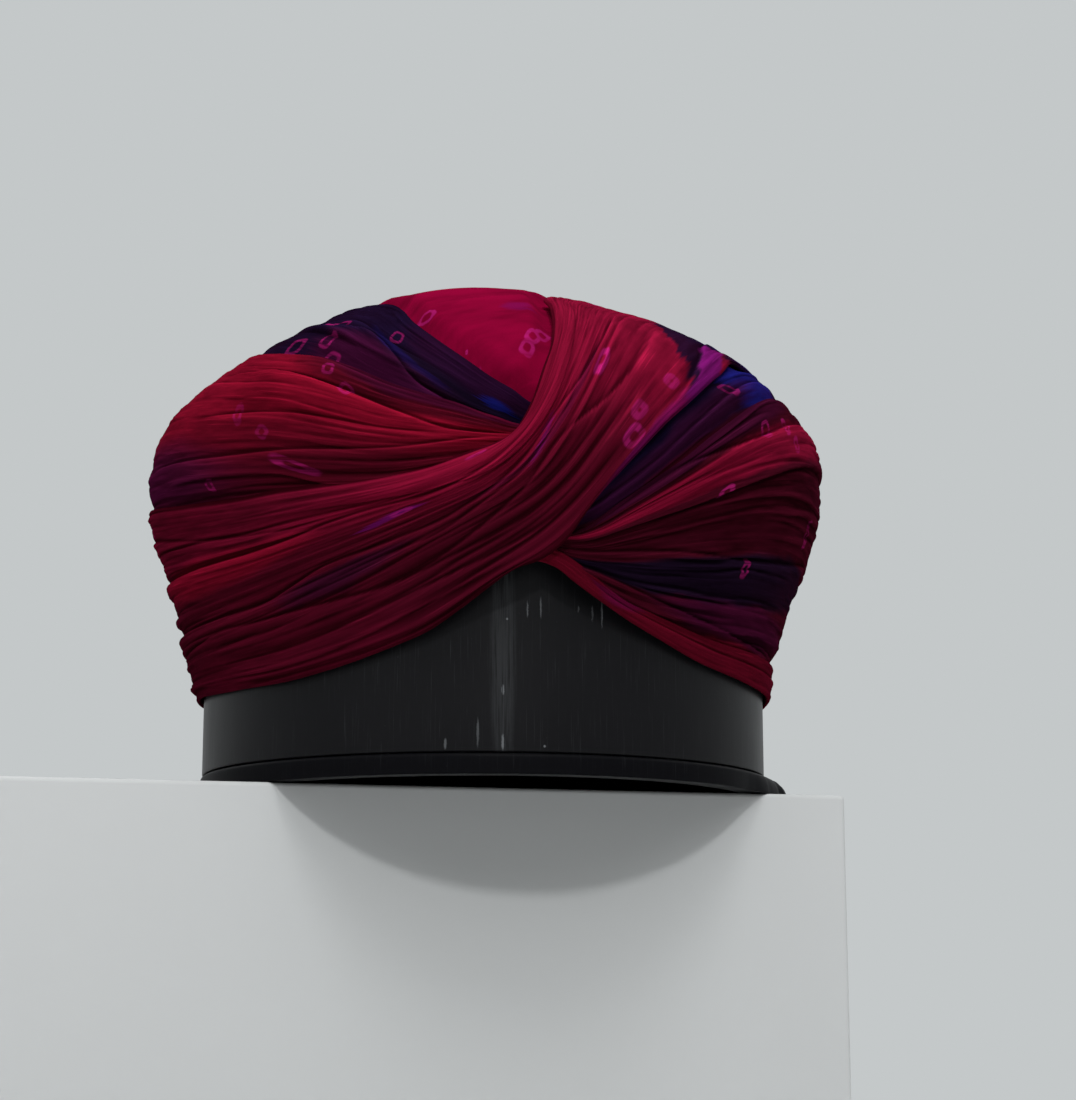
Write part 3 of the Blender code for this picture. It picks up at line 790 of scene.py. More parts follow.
def lay_cloth(name, cloth, dyes):
    """A finely pleated sheet on the outer form, its edges turned under, dipping under its covers."""
    layer = LAYERS[name]
    material = cloth_finish(name, dyes)
    stretch = Stretch(layer.stations)
    covers = [Stretch(LAYERS[other].stations) for other in list(LAYERS)[:list(LAYERS).index(name)]]
    columns, rows = layer.columns + 2 * HEM_ROWS, layer.rows + 2 * HEM_ROWS
    column = np.arange(columns + 1)[None, :] - HEM_ROWS
    row = np.arange(rows + 1)[:, None] - HEM_ROWS
    along = np.clip(column / layer.columns, 0.0, 1.0)
    across = np.clip(row / layer.rows, 0.0, 1.0)
    place_along, down = along + 0 * across, 0 * along + 0 * across
    place_across = climbed(layer, along, across)
    width = stretch.width(along)
    for past, sign, place, size in (
        (-column, -1, place_along, stretch.length),
        (column - layer.columns, 1, place_along, stretch.length),
        (-row, -1, place_across, width),
        (row - layer.rows, 1, place_across, width),
    ):
        out, drop = turned_edge(np.clip(past / HEM_ROWS, 0.0, 1.0), cloth)
        place += sign * out / size
        down = np.maximum(down, drop)
    azimuth, elevation = stretch.place(place_along, place_across)
    inner = slice(HEM_ROWS, rows + 1 - HEM_ROWS)
    for angle in (azimuth, elevation):
        angle[inner] = eased(angle[inner], layer.ease * MM, stretch.length / layer.columns)
    form = body_point(azimuth, elevation)
    grain = np.linalg.norm(np.gradient(form, axis=0), axis=-1) * layer.rows
    grain[:HEM_ROWS + 2], grain[-HEM_ROWS - 2:] = grain[HEM_ROWS + 2], grain[-HEM_ROWS - 3]
    plies, hidden = cover_depth(covers, azimuth, elevation, cloth)
    relief = fold_relief(layer, stretch.length, along, across, grain, cloth) * (1 - hidden)
    lift = relief - cloth.ply_step * plies - down
    points = form + lift[..., None] * body_normal(azimuth, elevation)

    bm = bmesh.new()
    bm.loops.layers.uv.new(UV_MAP)
    bmesh.ops.create_grid(bm, x_segments=columns, y_segments=rows, size=0.5, calc_uvs=True)
    piece = new_piece(name, bm, material)
    mesh = piece.data
    flat = coordinates(mesh) + 0.5
    order = np.rint(flat[:, 1] * rows).astype(int), np.rint(flat[:, 0] * columns).astype(int)
    share = np.stack(np.broadcast_arrays(along, across), axis=-1)[order]
    # The relief's ridges and valleys go into the mesh as painted fold shade for the cloth's colour
    dress_mesh(mesh, points[order], share, painted_fold_shade(relief)[order])
    settle(piece, name)
    return piece


def cover_depth(covers, azimuth, elevation, cloth):
    """How many stretches lie over each place, and how far it is hidden by them, from 0 to 1."""
    plies, hidden = np.zeros(azimuth.size), np.zeros(azimuth.size)
    for cover in covers:
        inside = depth_inside(cover, azimuth.ravel(), elevation.ravel())
        plies += smooth_step((inside + cloth.dip_width) / (cloth.dip_width - MM))
        hidden = np.maximum(hidden, smooth_step(inside / HIDDEN_EDGE))
    return plies.reshape(azimuth.shape), hidden.reshape(azimuth.shape)


def painted_fold_shade(relief):
    """Painted fold shade: ridges above zero and valleys below it, from -1 to 1, against the cloth just round
    them.
    """
    level = relief.copy()
    for _ in range(SHADE_PASSES):
        level[1:-1] = 0.25 * level[:-2] + 0.5 * level[1:-1] + 0.25 * level[2:]
    return np.clip((relief - level) / SHADE_DEPTH, -1.0, 1.0)


def dress_mesh(mesh, points, share, fold):
    """Move the vertices into place, and write the cloth's map and its ridges and valleys as painted fold
    shade.
    """
    mesh.vertices.foreach_set("co", points.ravel())
    corner = np.empty(len(mesh.loops), int)
    mesh.loops.foreach_get("vertex_index", corner)
    mesh.uv_layers[UV_MAP].data.foreach_set("uv", share[corner].ravel())
    mesh.attributes.new(PAINTED_FOLD_SHADE, "FLOAT", "POINT").data.foreach_set("value", fold)
    mesh.update()


def spun(profile, segments):
    """A closed profile of (radius, height) spun round the Z axis, and each vertex's row in it."""
    bm = bmesh.new()
    row = bm.verts.layers.int.new("row")
    verts = [bm.verts.new((radius, 0.0, height)) for radius, height in profile]
    for number, vertex in enumerate(verts):
        vertex[row] = number
    edges = [bm.edges.new(pair) for pair in zip(verts, verts[1:] + verts[:1])]
    bmesh.ops.spin(bm, geom=verts + edges, cent=(0, 0, 0), axis=(0, 0, 1), dvec=(0, 0, 0),
                   angle=2 * math.pi, steps=segments, use_merge=True, use_duplicate=False)
    bmesh.ops.remove_doubles(bm, verts=bm.verts, dist=MERGE)
    bmesh.ops.recalc_face_normals(bm, faces=bm.faces)
    return bm, np.array([vertex[row] for vertex in bm.verts])


def rounded(centre, radius, start, end, steps=4):
    """Points of an arc in a profile, from one angle to another in degrees."""
    return [(centre[0] + radius * math.cos(math.radians(start + (end - start) * i / steps)),
             centre[1] + radius * math.sin(math.radians(start + (end - start) * i / steps)))
            for i in range(steps + 1)]


class Wire:
    """One output of a node, for use in plain expressions."""

    def __init__(self, finish, socket):
        self.finish = finish
        self.socket = socket

    def math(self, operation, *values):
        return self.finish.node("ShaderNodeMath", {"operation": operation}, dict(enumerate(values)))

    def __add__(self, other):
        return self.math("ADD", self, other)

    def __radd__(self, other):
        return self.math("ADD", other, self)

    def __sub__(self, other):
        return self.math("SUBTRACT", self, other)

    def __rsub__(self, other):
        return self.math("SUBTRACT", other, self)

    def __mul__(self, other):
        return self.math("MULTIPLY", self, other)

    def __rmul__(self, other):
        return self.math("MULTIPLY", other, self)

    def __truediv__(self, other):
        return self.math("DIVIDE", self, other)

    def __pow__(self, other):
        return self.math("POWER", self, other)

    def __abs__(self):
        return self.math("ABSOLUTE", self)

    def most(self, other):
        return self.math("MAXIMUM", self, other)

    def between(self, low, high):
        """0 below low and 1 above high, smooth between them; turned round where low is above high."""
        if low > high:
            return 1 - self.between(high, low)
        return self.finish.node("ShaderNodeMapRange", {"interpolation_type": "SMOOTHSTEP"},
                                {"Value": self, "From Min": low, "From Max": high})


class Finish:
    """A material whose nodes come from plain expressions."""

    def __init__(self, name, **constants):
        self.material = bpy.data.materials.new(name)
        self.material.use_nodes = True
        self.tree = self.material.node_tree
        self.shader = self.tree.nodes["Principled BSDF"]
        for socket, value in constants.items():
            self.shader.inputs[socket.replace("_", " ")].default_value = value

    def node(self, kind, settings=None, values=None, output=0):
        """Any node: its type, its settings, and the values or links of its sockets."""
        made = self.tree.nodes.new(kind)
        for setting, value in (settings or {}).items():
            setattr(made, setting, value)
        for socket, value in (values or {}).items():
            self.feed(made.inputs[socket], value)
        return Wire(self, made.outputs[output])

    def feed(self, socket, value):
        if isinstance(value, Wire):
            self.tree.links.new(value.socket, socket)
        elif socket.type == "RGBA":
            socket.default_value = (*value, 1.0)
        else:
            socket.default_value = value

    def mix(self, share, first, second):
        """A colour between two colours."""
        return self.node("ShaderNodeMix", {"data_type": "RGBA"}, {0: share, 6: first, 7: second}, 2)

    def shade(self, colour, amount):
        """The colour made darker or brighter by a number."""
        return self.node("ShaderNodeVectorMath", {"operation": "SCALE"}, {0: colour, "Scale": amount})

    def parts(self, vector):
        """The x, y and z of a vector."""
        return [self.node("ShaderNodeSeparateXYZ", None, {0: vector}, i) for i in range(3)]

    def scaled(self, vector, scale):
        return self.node("ShaderNodeMapping", None, {"Vector": vector, "Scale": scale})

    def noise(self, vector, detail=3.0, roughness=0.5):
        return self.node("ShaderNodeTexNoise", None, {
            "Vector": vector, "Scale": 1.0, "Detail": detail, "Roughness": roughness})

    def stretched(self, vector, long, wide, detail=3.0, roughness=0.6):
        """Noise whose spots are so long along the cloth and so wide across it."""
        return self.noise(self.scaled(vector, (1 / long, 1 / wide, 1.0)), detail, roughness)

    def bump(self, height, strength, distance, normal=None):
        values = {"Height": height, "Strength": strength, "Distance": distance}
        if normal:
            values["Normal"] = normal
        return self.node("ShaderNodeBump", None, values)

    def finish(self, **surface):
        """Feed the shader's sockets and hand over the material."""
        for socket, value in surface.items():
            self.feed(self.shader.inputs[socket.replace("_", " ")], value)
        return self.material


# A dyed zone on a stretch: colour, middle and reach along and across it as shares,
# how far it climbs across for each share along, and how soft its border is.
# The maroon zones are partly painted shade, on the lower cloth and between the bands
Zone = namedtuple("Zone", "colour along across reach_along reach_across lean soft strength")
# A tied ring: its place, its width and height in mm, its turn in degrees and its strength
Ring = namedtuple("Ring", "along across wide tall turn strength")

CROSSING_ZONES = (
    # The maroon zones are partly painted shade: over the band's lower part, its left end and its upper edge
    Zone("maroon", 0.15, 0.5, 0.17, 0.9, 0, 0.6, 0.65),
    Zone("maroon", 0.38, 0.2, 0.19, 0.52, 0, 0.8, 0.85),
    Zone("maroon", 0.53, 0.08, 0.07, 0.24, 0.3, 0.8, 0.6),
    Zone("maroon", 0.375, 0.93, 0.095, 0.2, 0, 0.8, 0.62),
    Zone("red", 0.365, 0.6, 0.07, 0.09, 0.5, 0.8, 0.7),
    Zone("navy", 0.442, 0.3, 0.035, 0.05, 0, 0.8, 0.5),
    Zone("purple", 0.567, 0.4, 0.05, 0.05, 0, 0.8, 0.4),
    Zone("navy", 0.765, 0.06, 0.085, 0.24, 0, 0.4, 0.95),
    Zone("navy", 0.705, 0.17, 0.078, 0.07, 2, 0.25, 0.95),
    Zone("blue", 0.735, 0.08, 0.03, 0.1, 0, 0.7, 0.5),
    Zone("magenta", 0.6, 0, 0.04, 0.045, 0.4, 0.6, 0.5),
    Zone("magenta", 0.657, 0.036, 0.034, 0.038, 1, 0.35, 0.95),
    Zone("magenta", 0.48, 0.57, 0.016, 0.028, 2, 0.7, 0.9),
    Zone("magenta", 0.558, 0.46, 0.012, 0.035, 9, 0.7, 0.5),
)
CROSSING_RINGS = (
    Ring(0.607, 0.298, 8, 2.5, 0, 0.65),
    Ring(0.589, 0.071, 5.6, 2.8, 0, 0.65),
    Ring(0.6, 0.11, 4, 1.8, 0, 0.45),
    Ring(0.626, 0.09, 3.4, 1.6, 0, 0.45),
    Ring(0.526, 0.934, 4.5, 1.8, 10, 0.52),
    Ring(0.484, 0.58, 5, 2.2, 10, 0.52),
    Ring(0.291, 0.9, 3, 2.4, 30, 0.39),
    Ring(0.713, 0.7, 5, 3.5, 0, 0.52),
)
LEFT_ZONES = (
    Zone("purple", 0.64, 0.22, 0.135, 0.22, 0, 0.8, 0.95),
    # The maroon zones are partly painted shade: over the fan's lower part and along its top edge
    Zone("maroon", 0.86, 0.2, 0.12, 0.24, 0.3, 0.8, 0.7),
    Zone("maroon", 0.8, 0.36, 0.16, 0.22, 0.2, 0.9, 0.5),
    Zone("maroon", 0.7, 0.05, 0.3, 0.14, 0, 0.8, 0.75),
    Zone("maroon", 0.9, 0.92, 0.11, 0.13, -0.4, 0.5, 0.8),
    Zone("plum", 0.92, 1, 0.1, 0.08, 0, 0.6, 0.6),
)
LEFT_RINGS = (
    Ring(0.821, 0.312, 12.5, 2.6, -20, 0.44),
    Ring(0.733, 0.229, 3, 3, 0, 0.33),
    Ring(0.758, 0.582, 3, 6, 20, 0.25),
    Ring(0.788, 0.488, 4, 3, -30, 0.25),
    Ring(0.827, 0.929, 4, 3.6, 10, 0.44),
    Ring(0.85, 0.835, 4.6, 3.8, -30, 0.44),
)
NAVY_ZONES = (
    Zone("plum", 0.86, 0.16, 0.115, 0.36, -0.5, 0.4, 0.95),
    Zone("plum", 0.93, 0.85, 0.09, 0.26, -0.3, 0.8, 0.35),
    Zone("night", 0.9, 0.5, 0.075, 0.14, -1, 0.7, 0.7),
    Zone("blue", 0.85, 0.54, 0.06, 0.05, -1.6, 0.8, 0.25),
    Zone("blue", 0.962, 0.6, 0.012, 0.09, 0, 0.6, 0.9),
)
NAVY_RINGS = (
    Ring(0.723, 0.227, 6, 4.4, 10, 0.5),
    Ring(0.739, 0.509, 6, 5, 10, 0.5),
    Ring(0.761, 0.327, 5, 4.6, 0, 0.5),
    Ring(0.784, 0.2, 5.6, 4.2, 0, 0.5),
    Ring(0.803, 0.073, 5, 3.2, 0, 0.44),
    Ring(0.835, 0.709, 5, 5.4, 20, 0.39),
)
RIGHT_ZONES = (
    Zone("crimson", 0.19, 0.8, 0.17, 0.085, 0.15, 0.4, 0.82),
    Zone("plum", 0.16, 0.97, 0.12, 0.06, 0, 0.5, 0.6),
    Zone("night", 0.22, 0.28, 0.22, 0.1, 0.1, 0.3, 1),
    Zone("plum", 0.26, 0.12, 0.12, 0.07, -0.2, 0.6, 0.6),
    Zone("red", 0.2, 0.01, 0.18, 0.04, -0.1, 0.6, 0.3),
)
RIGHT_RINGS = (
    Ring(0.21, 0.883, 4.2, 4.6, 0, 0.42),
    Ring(0.248, 0.867, 3.2, 4.2, 0, 0.42),
    Ring(0.265, 0.794, 3, 3.6, 0, 0.42),
    Ring(0.168, 0.672, 4, 2.6, 20, 0.48),
    Ring(0.229, 0.322, 2.8, 4.2, 0, 0.36),
    Ring(0.329, 0.494, 3, 6, 0, 0.3),
)
SIDE_ZONES = (
    Zone("blue", 0.5, 0.45, 0.085, 0.55, 0, 0.6, 0.95),
    Zone("blue", 0.36, 0.7, 0.09, 0.12, 0.8, 0.8, 0.5),
    Zone("plum", 0.25, 0.3, 0.2, 0.15, 0.4, 0.8, 0.6),
    # The maroon zone is partly painted shade along the side fold's lower edge
    Zone("maroon", 0.25, 0.08, 0.26, 0.12, 0.2, 0.5, 0.9),
)
SIDE_RINGS = (
    Ring(0.395, 0.43, 5, 3.6, 0, 0.3),
)
HEM_ZONES = (
    # Maroon over the whole hem fold, the lowest stretch, is partly painted shade
    Zone("maroon", 0.5, 0.5, 0.7, 3, 0, 0.8, 0.68),
    Zone("magenta", 0.094, 0.8, 0.02, 0.5, 0, 0.8, 0.2),
)
CROWN_ZONES = (
    # The maroon zone is partly painted shade on the crown next to the crossing band
    Zone("maroon", 0.585, 0.43, 0.06, 0.06, 0, 0.6, 0.6),
    Zone("magenta", 0.534, 0.222, 0.016, 0.016, 0, 0.9, 0.4),
)
CROWN_RINGS_TIED = (
    Ring(0.5501, 0.1438, 3.4, 7, -16, 0.8),
    Ring(0.5451, 0.1186, 3.4, 6.5, -16, 0.8),
    Ring(0.561, 0.164, 3.2, 6.5, -24, 0.7),
    Ring(0.4343, 0.2037, 5.4, 4, -30, 0.7),
    Ring(0.479, 0.117, 0.5, 0.8, 0, 0.77),
    Ring(0.4935, 0.095, 0.5, 0.8, 0, 0.77),
)


# Streaks of the dyed yarn: length and width in mm, strength, and turn in degrees
Streak = namedtuple("Streak", "long wide strength turn")
VOILE_STREAK = Streak(40.0, 1.3, 0.35, 0.0)
CROWN_STREAK = Streak(60.0, 9.0, 0.08, -SOFT_FOLD_TURN)
# How a cloth is dyed: ground colour, zones, rings, its length and width in mm where its map runs
# from 0 to 1, and its streaks
Dyeing = namedtuple("Dyeing", "ground zones rings far wide streak", defaults=(VOILE_STREAK,))
DYEINGS = {
    "crown": Dyeing("pink", CROWN_ZONES, CROWN_RINGS_TIED, 300.0, 300.0, CROWN_STREAK),
    "navy_fold": Dyeing("navy", NAVY_ZONES, NAVY_RINGS, 336.0, 40.0),
    "side_fold": Dyeing("navy", SIDE_ZONES, SIDE_RINGS, 229.0, 26.0),
    "hem_fold": Dyeing("red", HEM_ZONES, (), 343.0, 9.0),
    "upper_left_fan": Dyeing("red", LEFT_ZONES, LEFT_RINGS, 409.0, 62.0),
    # The right fan's maroon ground is partly painted shade
    "right_fan": Dyeing("maroon", RIGHT_ZONES, RIGHT_RINGS, 384.0, 76.0),
    "crossing_band": Dyeing("crimson", CROSSING_ZONES, CROSSING_RINGS, 636.0, 64.0),
}
# How far, in mm, the streaks and the clouds shift a zone's border along the cloth and across it
BLEED_STREAKS = 22.0
BLEED_CLOUDS = 12.0
BLEED_ACROSS = 5.0
# How far a ring wavers, and the width of its line, in mm
RING_WAVER = 1.6
RING_LINE = 0.8
# Clouds of deeper dye: length and width in mm, where in the noise they set in, and their shade
CLOUD_SPOT = (22.0, 9.0)
CLOUD_RANGE = (0.35, 0.75)
CLOUD_SHADE = 0.66
# Where in the streaks' noise the yarn pales, and where it takes the tied rings
STREAK_RANGE = (0.25, 0.75)
RESIST_RANGE = (0.25, 0.6)
# How much the painted highlight on ridges and the painted shade in valleys change the dye
PAINTED_FOLD_CONTRAST = 0.6
# Pale lint: length in mm, times that it is thinner than a streak, where in the noise it sets in,
# strength as a share of the streaks', and the tone of the cloth between it
LINT_LONG = 26.0
LINT_THIN = 2.8
LINT_RANGE = (0.56, 0.80)
LINT_STRENGTH = 2.6
LINT_GROUND = 0.93
# Threads in each metre, and wrinkles: length in mm and times that they are thinner than a streak
THREADS = (2600.0, 2600.0, 2600.0)
WRINKLE_LONG = 9.0
WRINKLE_THIN = 2.3
# Bumps of wrinkles and threads: strength and depth; and the cloth's roughness, least and added
WRINKLE_BUMP = (0.35, 0.25 * MM)
THREAD_BUMP = (0.12, 0.12 * MM)
CLOTH_ROUGH = 0.66
THREAD_ROUGH = 0.16


def cloth_finish(name, dyes):
    """Fine dyed voile: streaked ground colour, soft dyed zones, small tied rings, and painted fold shade
    (ridges painted lighter, valleys darker); the dark red zones are partly painted shade.
    """
    ground, zones, rings, far, wide, streak = DYEINGS[name]
    finish = Finish(name.replace("_", " "), Sheen_Weight=0.02, Sheen_Roughness=0.4, Specular_IOR_Level=0.0,
                    Sheen_Tint=(1.0, 0.12, 0.3, 1.0))
    place = finish.node("ShaderNodeUVMap", {"uv_map": UV_MAP})
    flat = finish.node("ShaderNodeMapping", None, {
        "Vector": finish.scaled(place, (far, wide, 1.0)),
        "Rotation": (0.0, 0.0, math.radians(streak.turn))})
    streaks = finish.stretched(flat, streak.long, streak.wide, 4.0)
    clouds = finish.stretched(flat, *CLOUD_SPOT, roughness=0.55)
    along, across, _ = finish.parts(place)
    far_along = along + ((streaks - 0.5) * BLEED_STREAKS + (clouds - 0.5) * BLEED_CLOUDS) * (1 / far)
    far_across = across + ((clouds - 0.5) * BLEED_ACROSS) * (1 / wide)
    ground = getattr(dyes, ground)
    deep = tuple(CLOUD_SHADE * part for part in ground)
    colour = finish.mix(clouds.between(*CLOUD_RANGE), ground, deep)
    for zone in zones:
        u = (far_along - zone.along) / zone.reach_along
        v = (far_across - (far_along - zone.along) * zone.lean - zone.across) / zone.reach_across
        mask = (u * u + v * v).between(1 + zone.soft, 1 - zone.soft) * zone.strength
        colour = finish.mix(mask, colour, getattr(dyes, zone.colour))
    marks = None
    waver = (clouds - 0.5) * RING_WAVER
    for ring in rings:
        spin = math.radians(ring.turn)
        u, v = (along - ring.along) * far + waver, (across - ring.across) * wide + waver * 0.5
        x = (u * math.cos(spin) + v * math.sin(spin)) * (2 / ring.wide)
        y = (v * math.cos(spin) - u * math.sin(spin)) * (2 / ring.tall)
        size = min(ring.wide, ring.tall) / 2
        edge = abs((abs(x) ** 3 + abs(y) ** 3) ** 0.333 - 1) * size
        line = min(RING_LINE, size)
        mark = edge.between(line, 0.4 * line) * ring.strength
        marks = marks.most(mark) if marks else mark
    if marks:
        colour = finish.mix(marks * streaks.between(*RESIST_RANGE), colour, dyes.resist)
    # Painted fold shade: ridges are painted lighter and valleys darker, as the light would fall on them
    fold = finish.node("ShaderNodeAttribute", {"attribute_name": PAINTED_FOLD_SHADE}, output=2)
    tone = streaks.between(*STREAK_RANGE) * streak.strength + (0.95 - 0.5 * streak.strength)
    colour = finish.shade(colour, tone * (fold * PAINTED_FOLD_CONTRAST + 1))
    lint = finish.stretched(flat, LINT_LONG, streak.wide / LINT_THIN).between(*LINT_RANGE)
    colour = finish.shade(colour, lint * (LINT_STRENGTH * streak.strength) + LINT_GROUND)
    threads = finish.noise(finish.scaled(finish.node("ShaderNodeTexCoord", output=3), THREADS), 2.0, 0.6)
    wrinkles = finish.stretched(flat, WRINKLE_LONG, streak.wide / WRINKLE_THIN)
    normal = finish.bump(wrinkles, *WRINKLE_BUMP)
    normal = finish.bump(threads, *THREAD_BUMP, normal)
    return finish.finish(Base_Color=colour, Roughness=threads * THREAD_ROUGH + CLOTH_ROUGH, Normal=normal)


# Plastic: scratches in each mm round and up the tube, and grains of dust and of haze in each metre
SCRATCHES_ROUND = 2.2
SCRATCHES_UP = 0.045
DUST_GRAIN = (900.0, 900.0, 900.0)
HAZE_GRAIN = (45.0, 45.0, 20.0)
# Where in their noise the scratches and the dust set in, and how pale they are
SCRATCH_RANGE = (0.56, 0.80)
DUST_RANGE = (0.66, 0.80)
SCRATCH_WEAR = 0.10
DUST_WEAR = 0.12
# How far dust frays a pale mark's edge in mm, how soft the edge is, and where the scratches carry it;
# the marks are worn spots and dust, and one painted reflection streak
PALE_MARK_FRAY = 0.8
PALE_MARK_EDGE = (1.6, 0.3)
PALE_MARK_RANGE = (0.3, 0.6)
# Roughness of the plastic: least, and what haze, scratches and the pale marks (worn spots and the painted
# reflection streak) add
PLASTIC_ROUGH = 0.22
HAZE_ROUGH = 0.16
SCRATCH_ROUGH = 0.18
WEAR_ROUGH = 0.3
# Bumps of scratches and dust: strength and depth
SCRATCH_BUMP = (0.10, 0.15 * MM)
DUST_BUMP = (0.08, 0.10 * MM)
# A pale mark on the tube: place round it and height in mm, width and height in mm, strength
PaleMark = namedtuple("PaleMark", "round height wide tall strength")
TUBE_SCUFFS_AND_REFLECTION = (
    # Painted reflection: the broad, faint, tall streak down the front, where a tall light is mirrored; the
    # small marks are worn spots and dust
    PaleMark(5.4, 36, 7, 74, 0.12),
    PaleMark(5.4, 24, 0.8, 3, 0.8),
    PaleMark(5.4, 9, 0.8, 4.5, 0.8),
    PaleMark(-1.7, 11.5, 0.7, 8, 0.45),
    PaleMark(-11, 8.5, 0.8, 3, 0.5),
    PaleMark(12.4, 47.5, 0.5, 4.5, 0.7),
    PaleMark(16.4, 48, 0.5, 6, 0.6),
    PaleMark(27.6, 48, 0.5, 2, 0.6),
    PaleMark(32, 47, 0.5, 4.5, 0.6),
    PaleMark(35, 47, 0.5, 7.5, 0.8),
    PaleMark(6.5, 44.5, 0.7, 0.7, 1),
    PaleMark(17.5, 8, 0.7, 0.7, 1),
)


def plastic_finish(name, stand, scuffs_and_reflection, gloss):
    """Satin black plastic with fine upright scratches, dust, a few pale scuffed spots, and on the tube a
    faint painted reflection streak.
    """
    finish = Finish(name, Specular_IOR_Level=gloss)
    solid = finish.node("ShaderNodeTexCoord", output=3)
    x, y, z = finish.parts(solid)
    turn = finish.node("ShaderNodeMath", {"operation": "ARCTAN2"}, {0: x, 1: 0 - y})
    around, height = turn * (TUBE_RADIUS / MM), z * (1 / MM)
    wrap = finish.node("ShaderNodeCombineXYZ", None, {
        0: around * SCRATCHES_ROUND, 1: height * SCRATCHES_UP})
    scratches = finish.noise(wrap, 3.0, 0.65)
    dust = finish.noise(finish.scaled(solid, DUST_GRAIN), 5.0, 0.7)
    haze = finish.noise(finish.scaled(solid, HAZE_GRAIN))
    wear_and_reflection = scratches.between(*SCRATCH_RANGE) * SCRATCH_WEAR + dust.between(*DUST_RANGE) * DUST_WEAR
    # The pale marks lighten the plastic: worn spots, and the painted reflection streak
    for pale_mark in scuffs_and_reflection:
        u = (around - pale_mark.round + (dust - 0.5) * PALE_MARK_FRAY) * (2 / pale_mark.wide)
        v = (height - pale_mark.height) * (2 / pale_mark.tall)
        spot = (u * u + v * v).between(*PALE_MARK_EDGE) * pale_mark.strength
        wear_and_reflection = wear_and_reflection.most(spot * scratches.between(*PALE_MARK_RANGE))
    colour = finish.mix(wear_and_reflection, stand.plastic, stand.scratch_and_reflection)
    rough = haze * HAZE_ROUGH + scratches * SCRATCH_ROUGH + PLASTIC_ROUGH + wear_and_reflection * WEAR_ROUGH
    normal = finish.bump(scratches, *SCRATCH_BUMP)
    normal = finish.bump(dust, *DUST_BUMP, normal)
    return finish.finish(Base_Color=colour, Roughness=rough, Normal=normal)


class TURBAN_OT_stand(bpy.types.Operator):
    """Turn the tube and the foot ring of the display stand"""

    bl_idname = "turban.stand"
    bl_label = "Display Stand"

    def execute(self, context):
        stand = context.scene.turban_stand
        inner = TUBE_RADIUS - stand.wall
        edge = TUBE_EDGE_ROUND
        top, bottom = TUBE_HIGH.z, TUBE_LOW.z
        profile = rounded((TUBE_RADIUS - edge, bottom + edge), edge, -90.0, 0.0)
        profile += [(TUBE_RADIUS, bottom + (top - bottom) * i / 8) for i in range(1, 8)]
        profile += rounded((TUBE_RADIUS - edge, top - edge), edge, 0.0, 90.0)
        profile += [(inner, top), (inner, bottom)]
        material = plastic_finish("tube", stand, TUBE_SCUFFS_AND_REFLECTION, TUBE_GLOSS)
        tube = new_piece("stand_tube", spun(profile, stand.segments)[0], material)
        settle(tube, "stand_tube")

        height = FOOT_HIGH.z
        low, high = FOOT_LOWER_ROUND, FOOT_EDGE_ROUND
        outer = rounded((FOOT_RADIUS - low, low), low, -90.0, 0.0)
        outer += [(FOOT_RADIUS, low + (height - high - low) * i / 4) for i in range(1, 4)]
        outer += rounded((FOOT_RADIUS - high, height - high), high, 0.0, 90.0)
        profile = outer + [(FOOT_INNER_RADIUS, height), (FOOT_INNER_RADIUS, 0.0)]
        material = plastic_finish("foot", stand, (), FOOT_GLOSS)
        foot = new_piece("stand_foot", spun(profile, stand.segments)[0], material)
        self.pull_lip(foot.data, height)
        settle(foot, "stand_foot")
        return {"FINISHED"}

    def pull_lip(self, mesh, height):
        """Pull the ragged lip out of the foot's outer face on the right."""
        azimuths, reaches = zip(*FOOT_LIP)
        for vertex in mesh.vertices:
            radius = math.hypot(vertex.co.x, vertex.co.y)
            azimuth = math.degrees(math.atan2(vertex.co.x, -vertex.co.y))
            reach = float(np.interp(azimuth, azimuths, reaches)) * MM
            if radius > FOOT_RADIUS - FOOT_EDGE_ROUND - MERGE and reach > 0:
                ragged = 1.0
                for height_share, rate in LIP_WAVES:
                    ragged += height_share * math.sin(azimuth * rate)
                slope = math.sqrt(max(0.0, 1 - (vertex.co.z / height) ** 2))
                vertex.co.x *= 1 + reach * ragged * slope / radius
                vertex.co.y *= 1 + reach * ragged * slope / radius


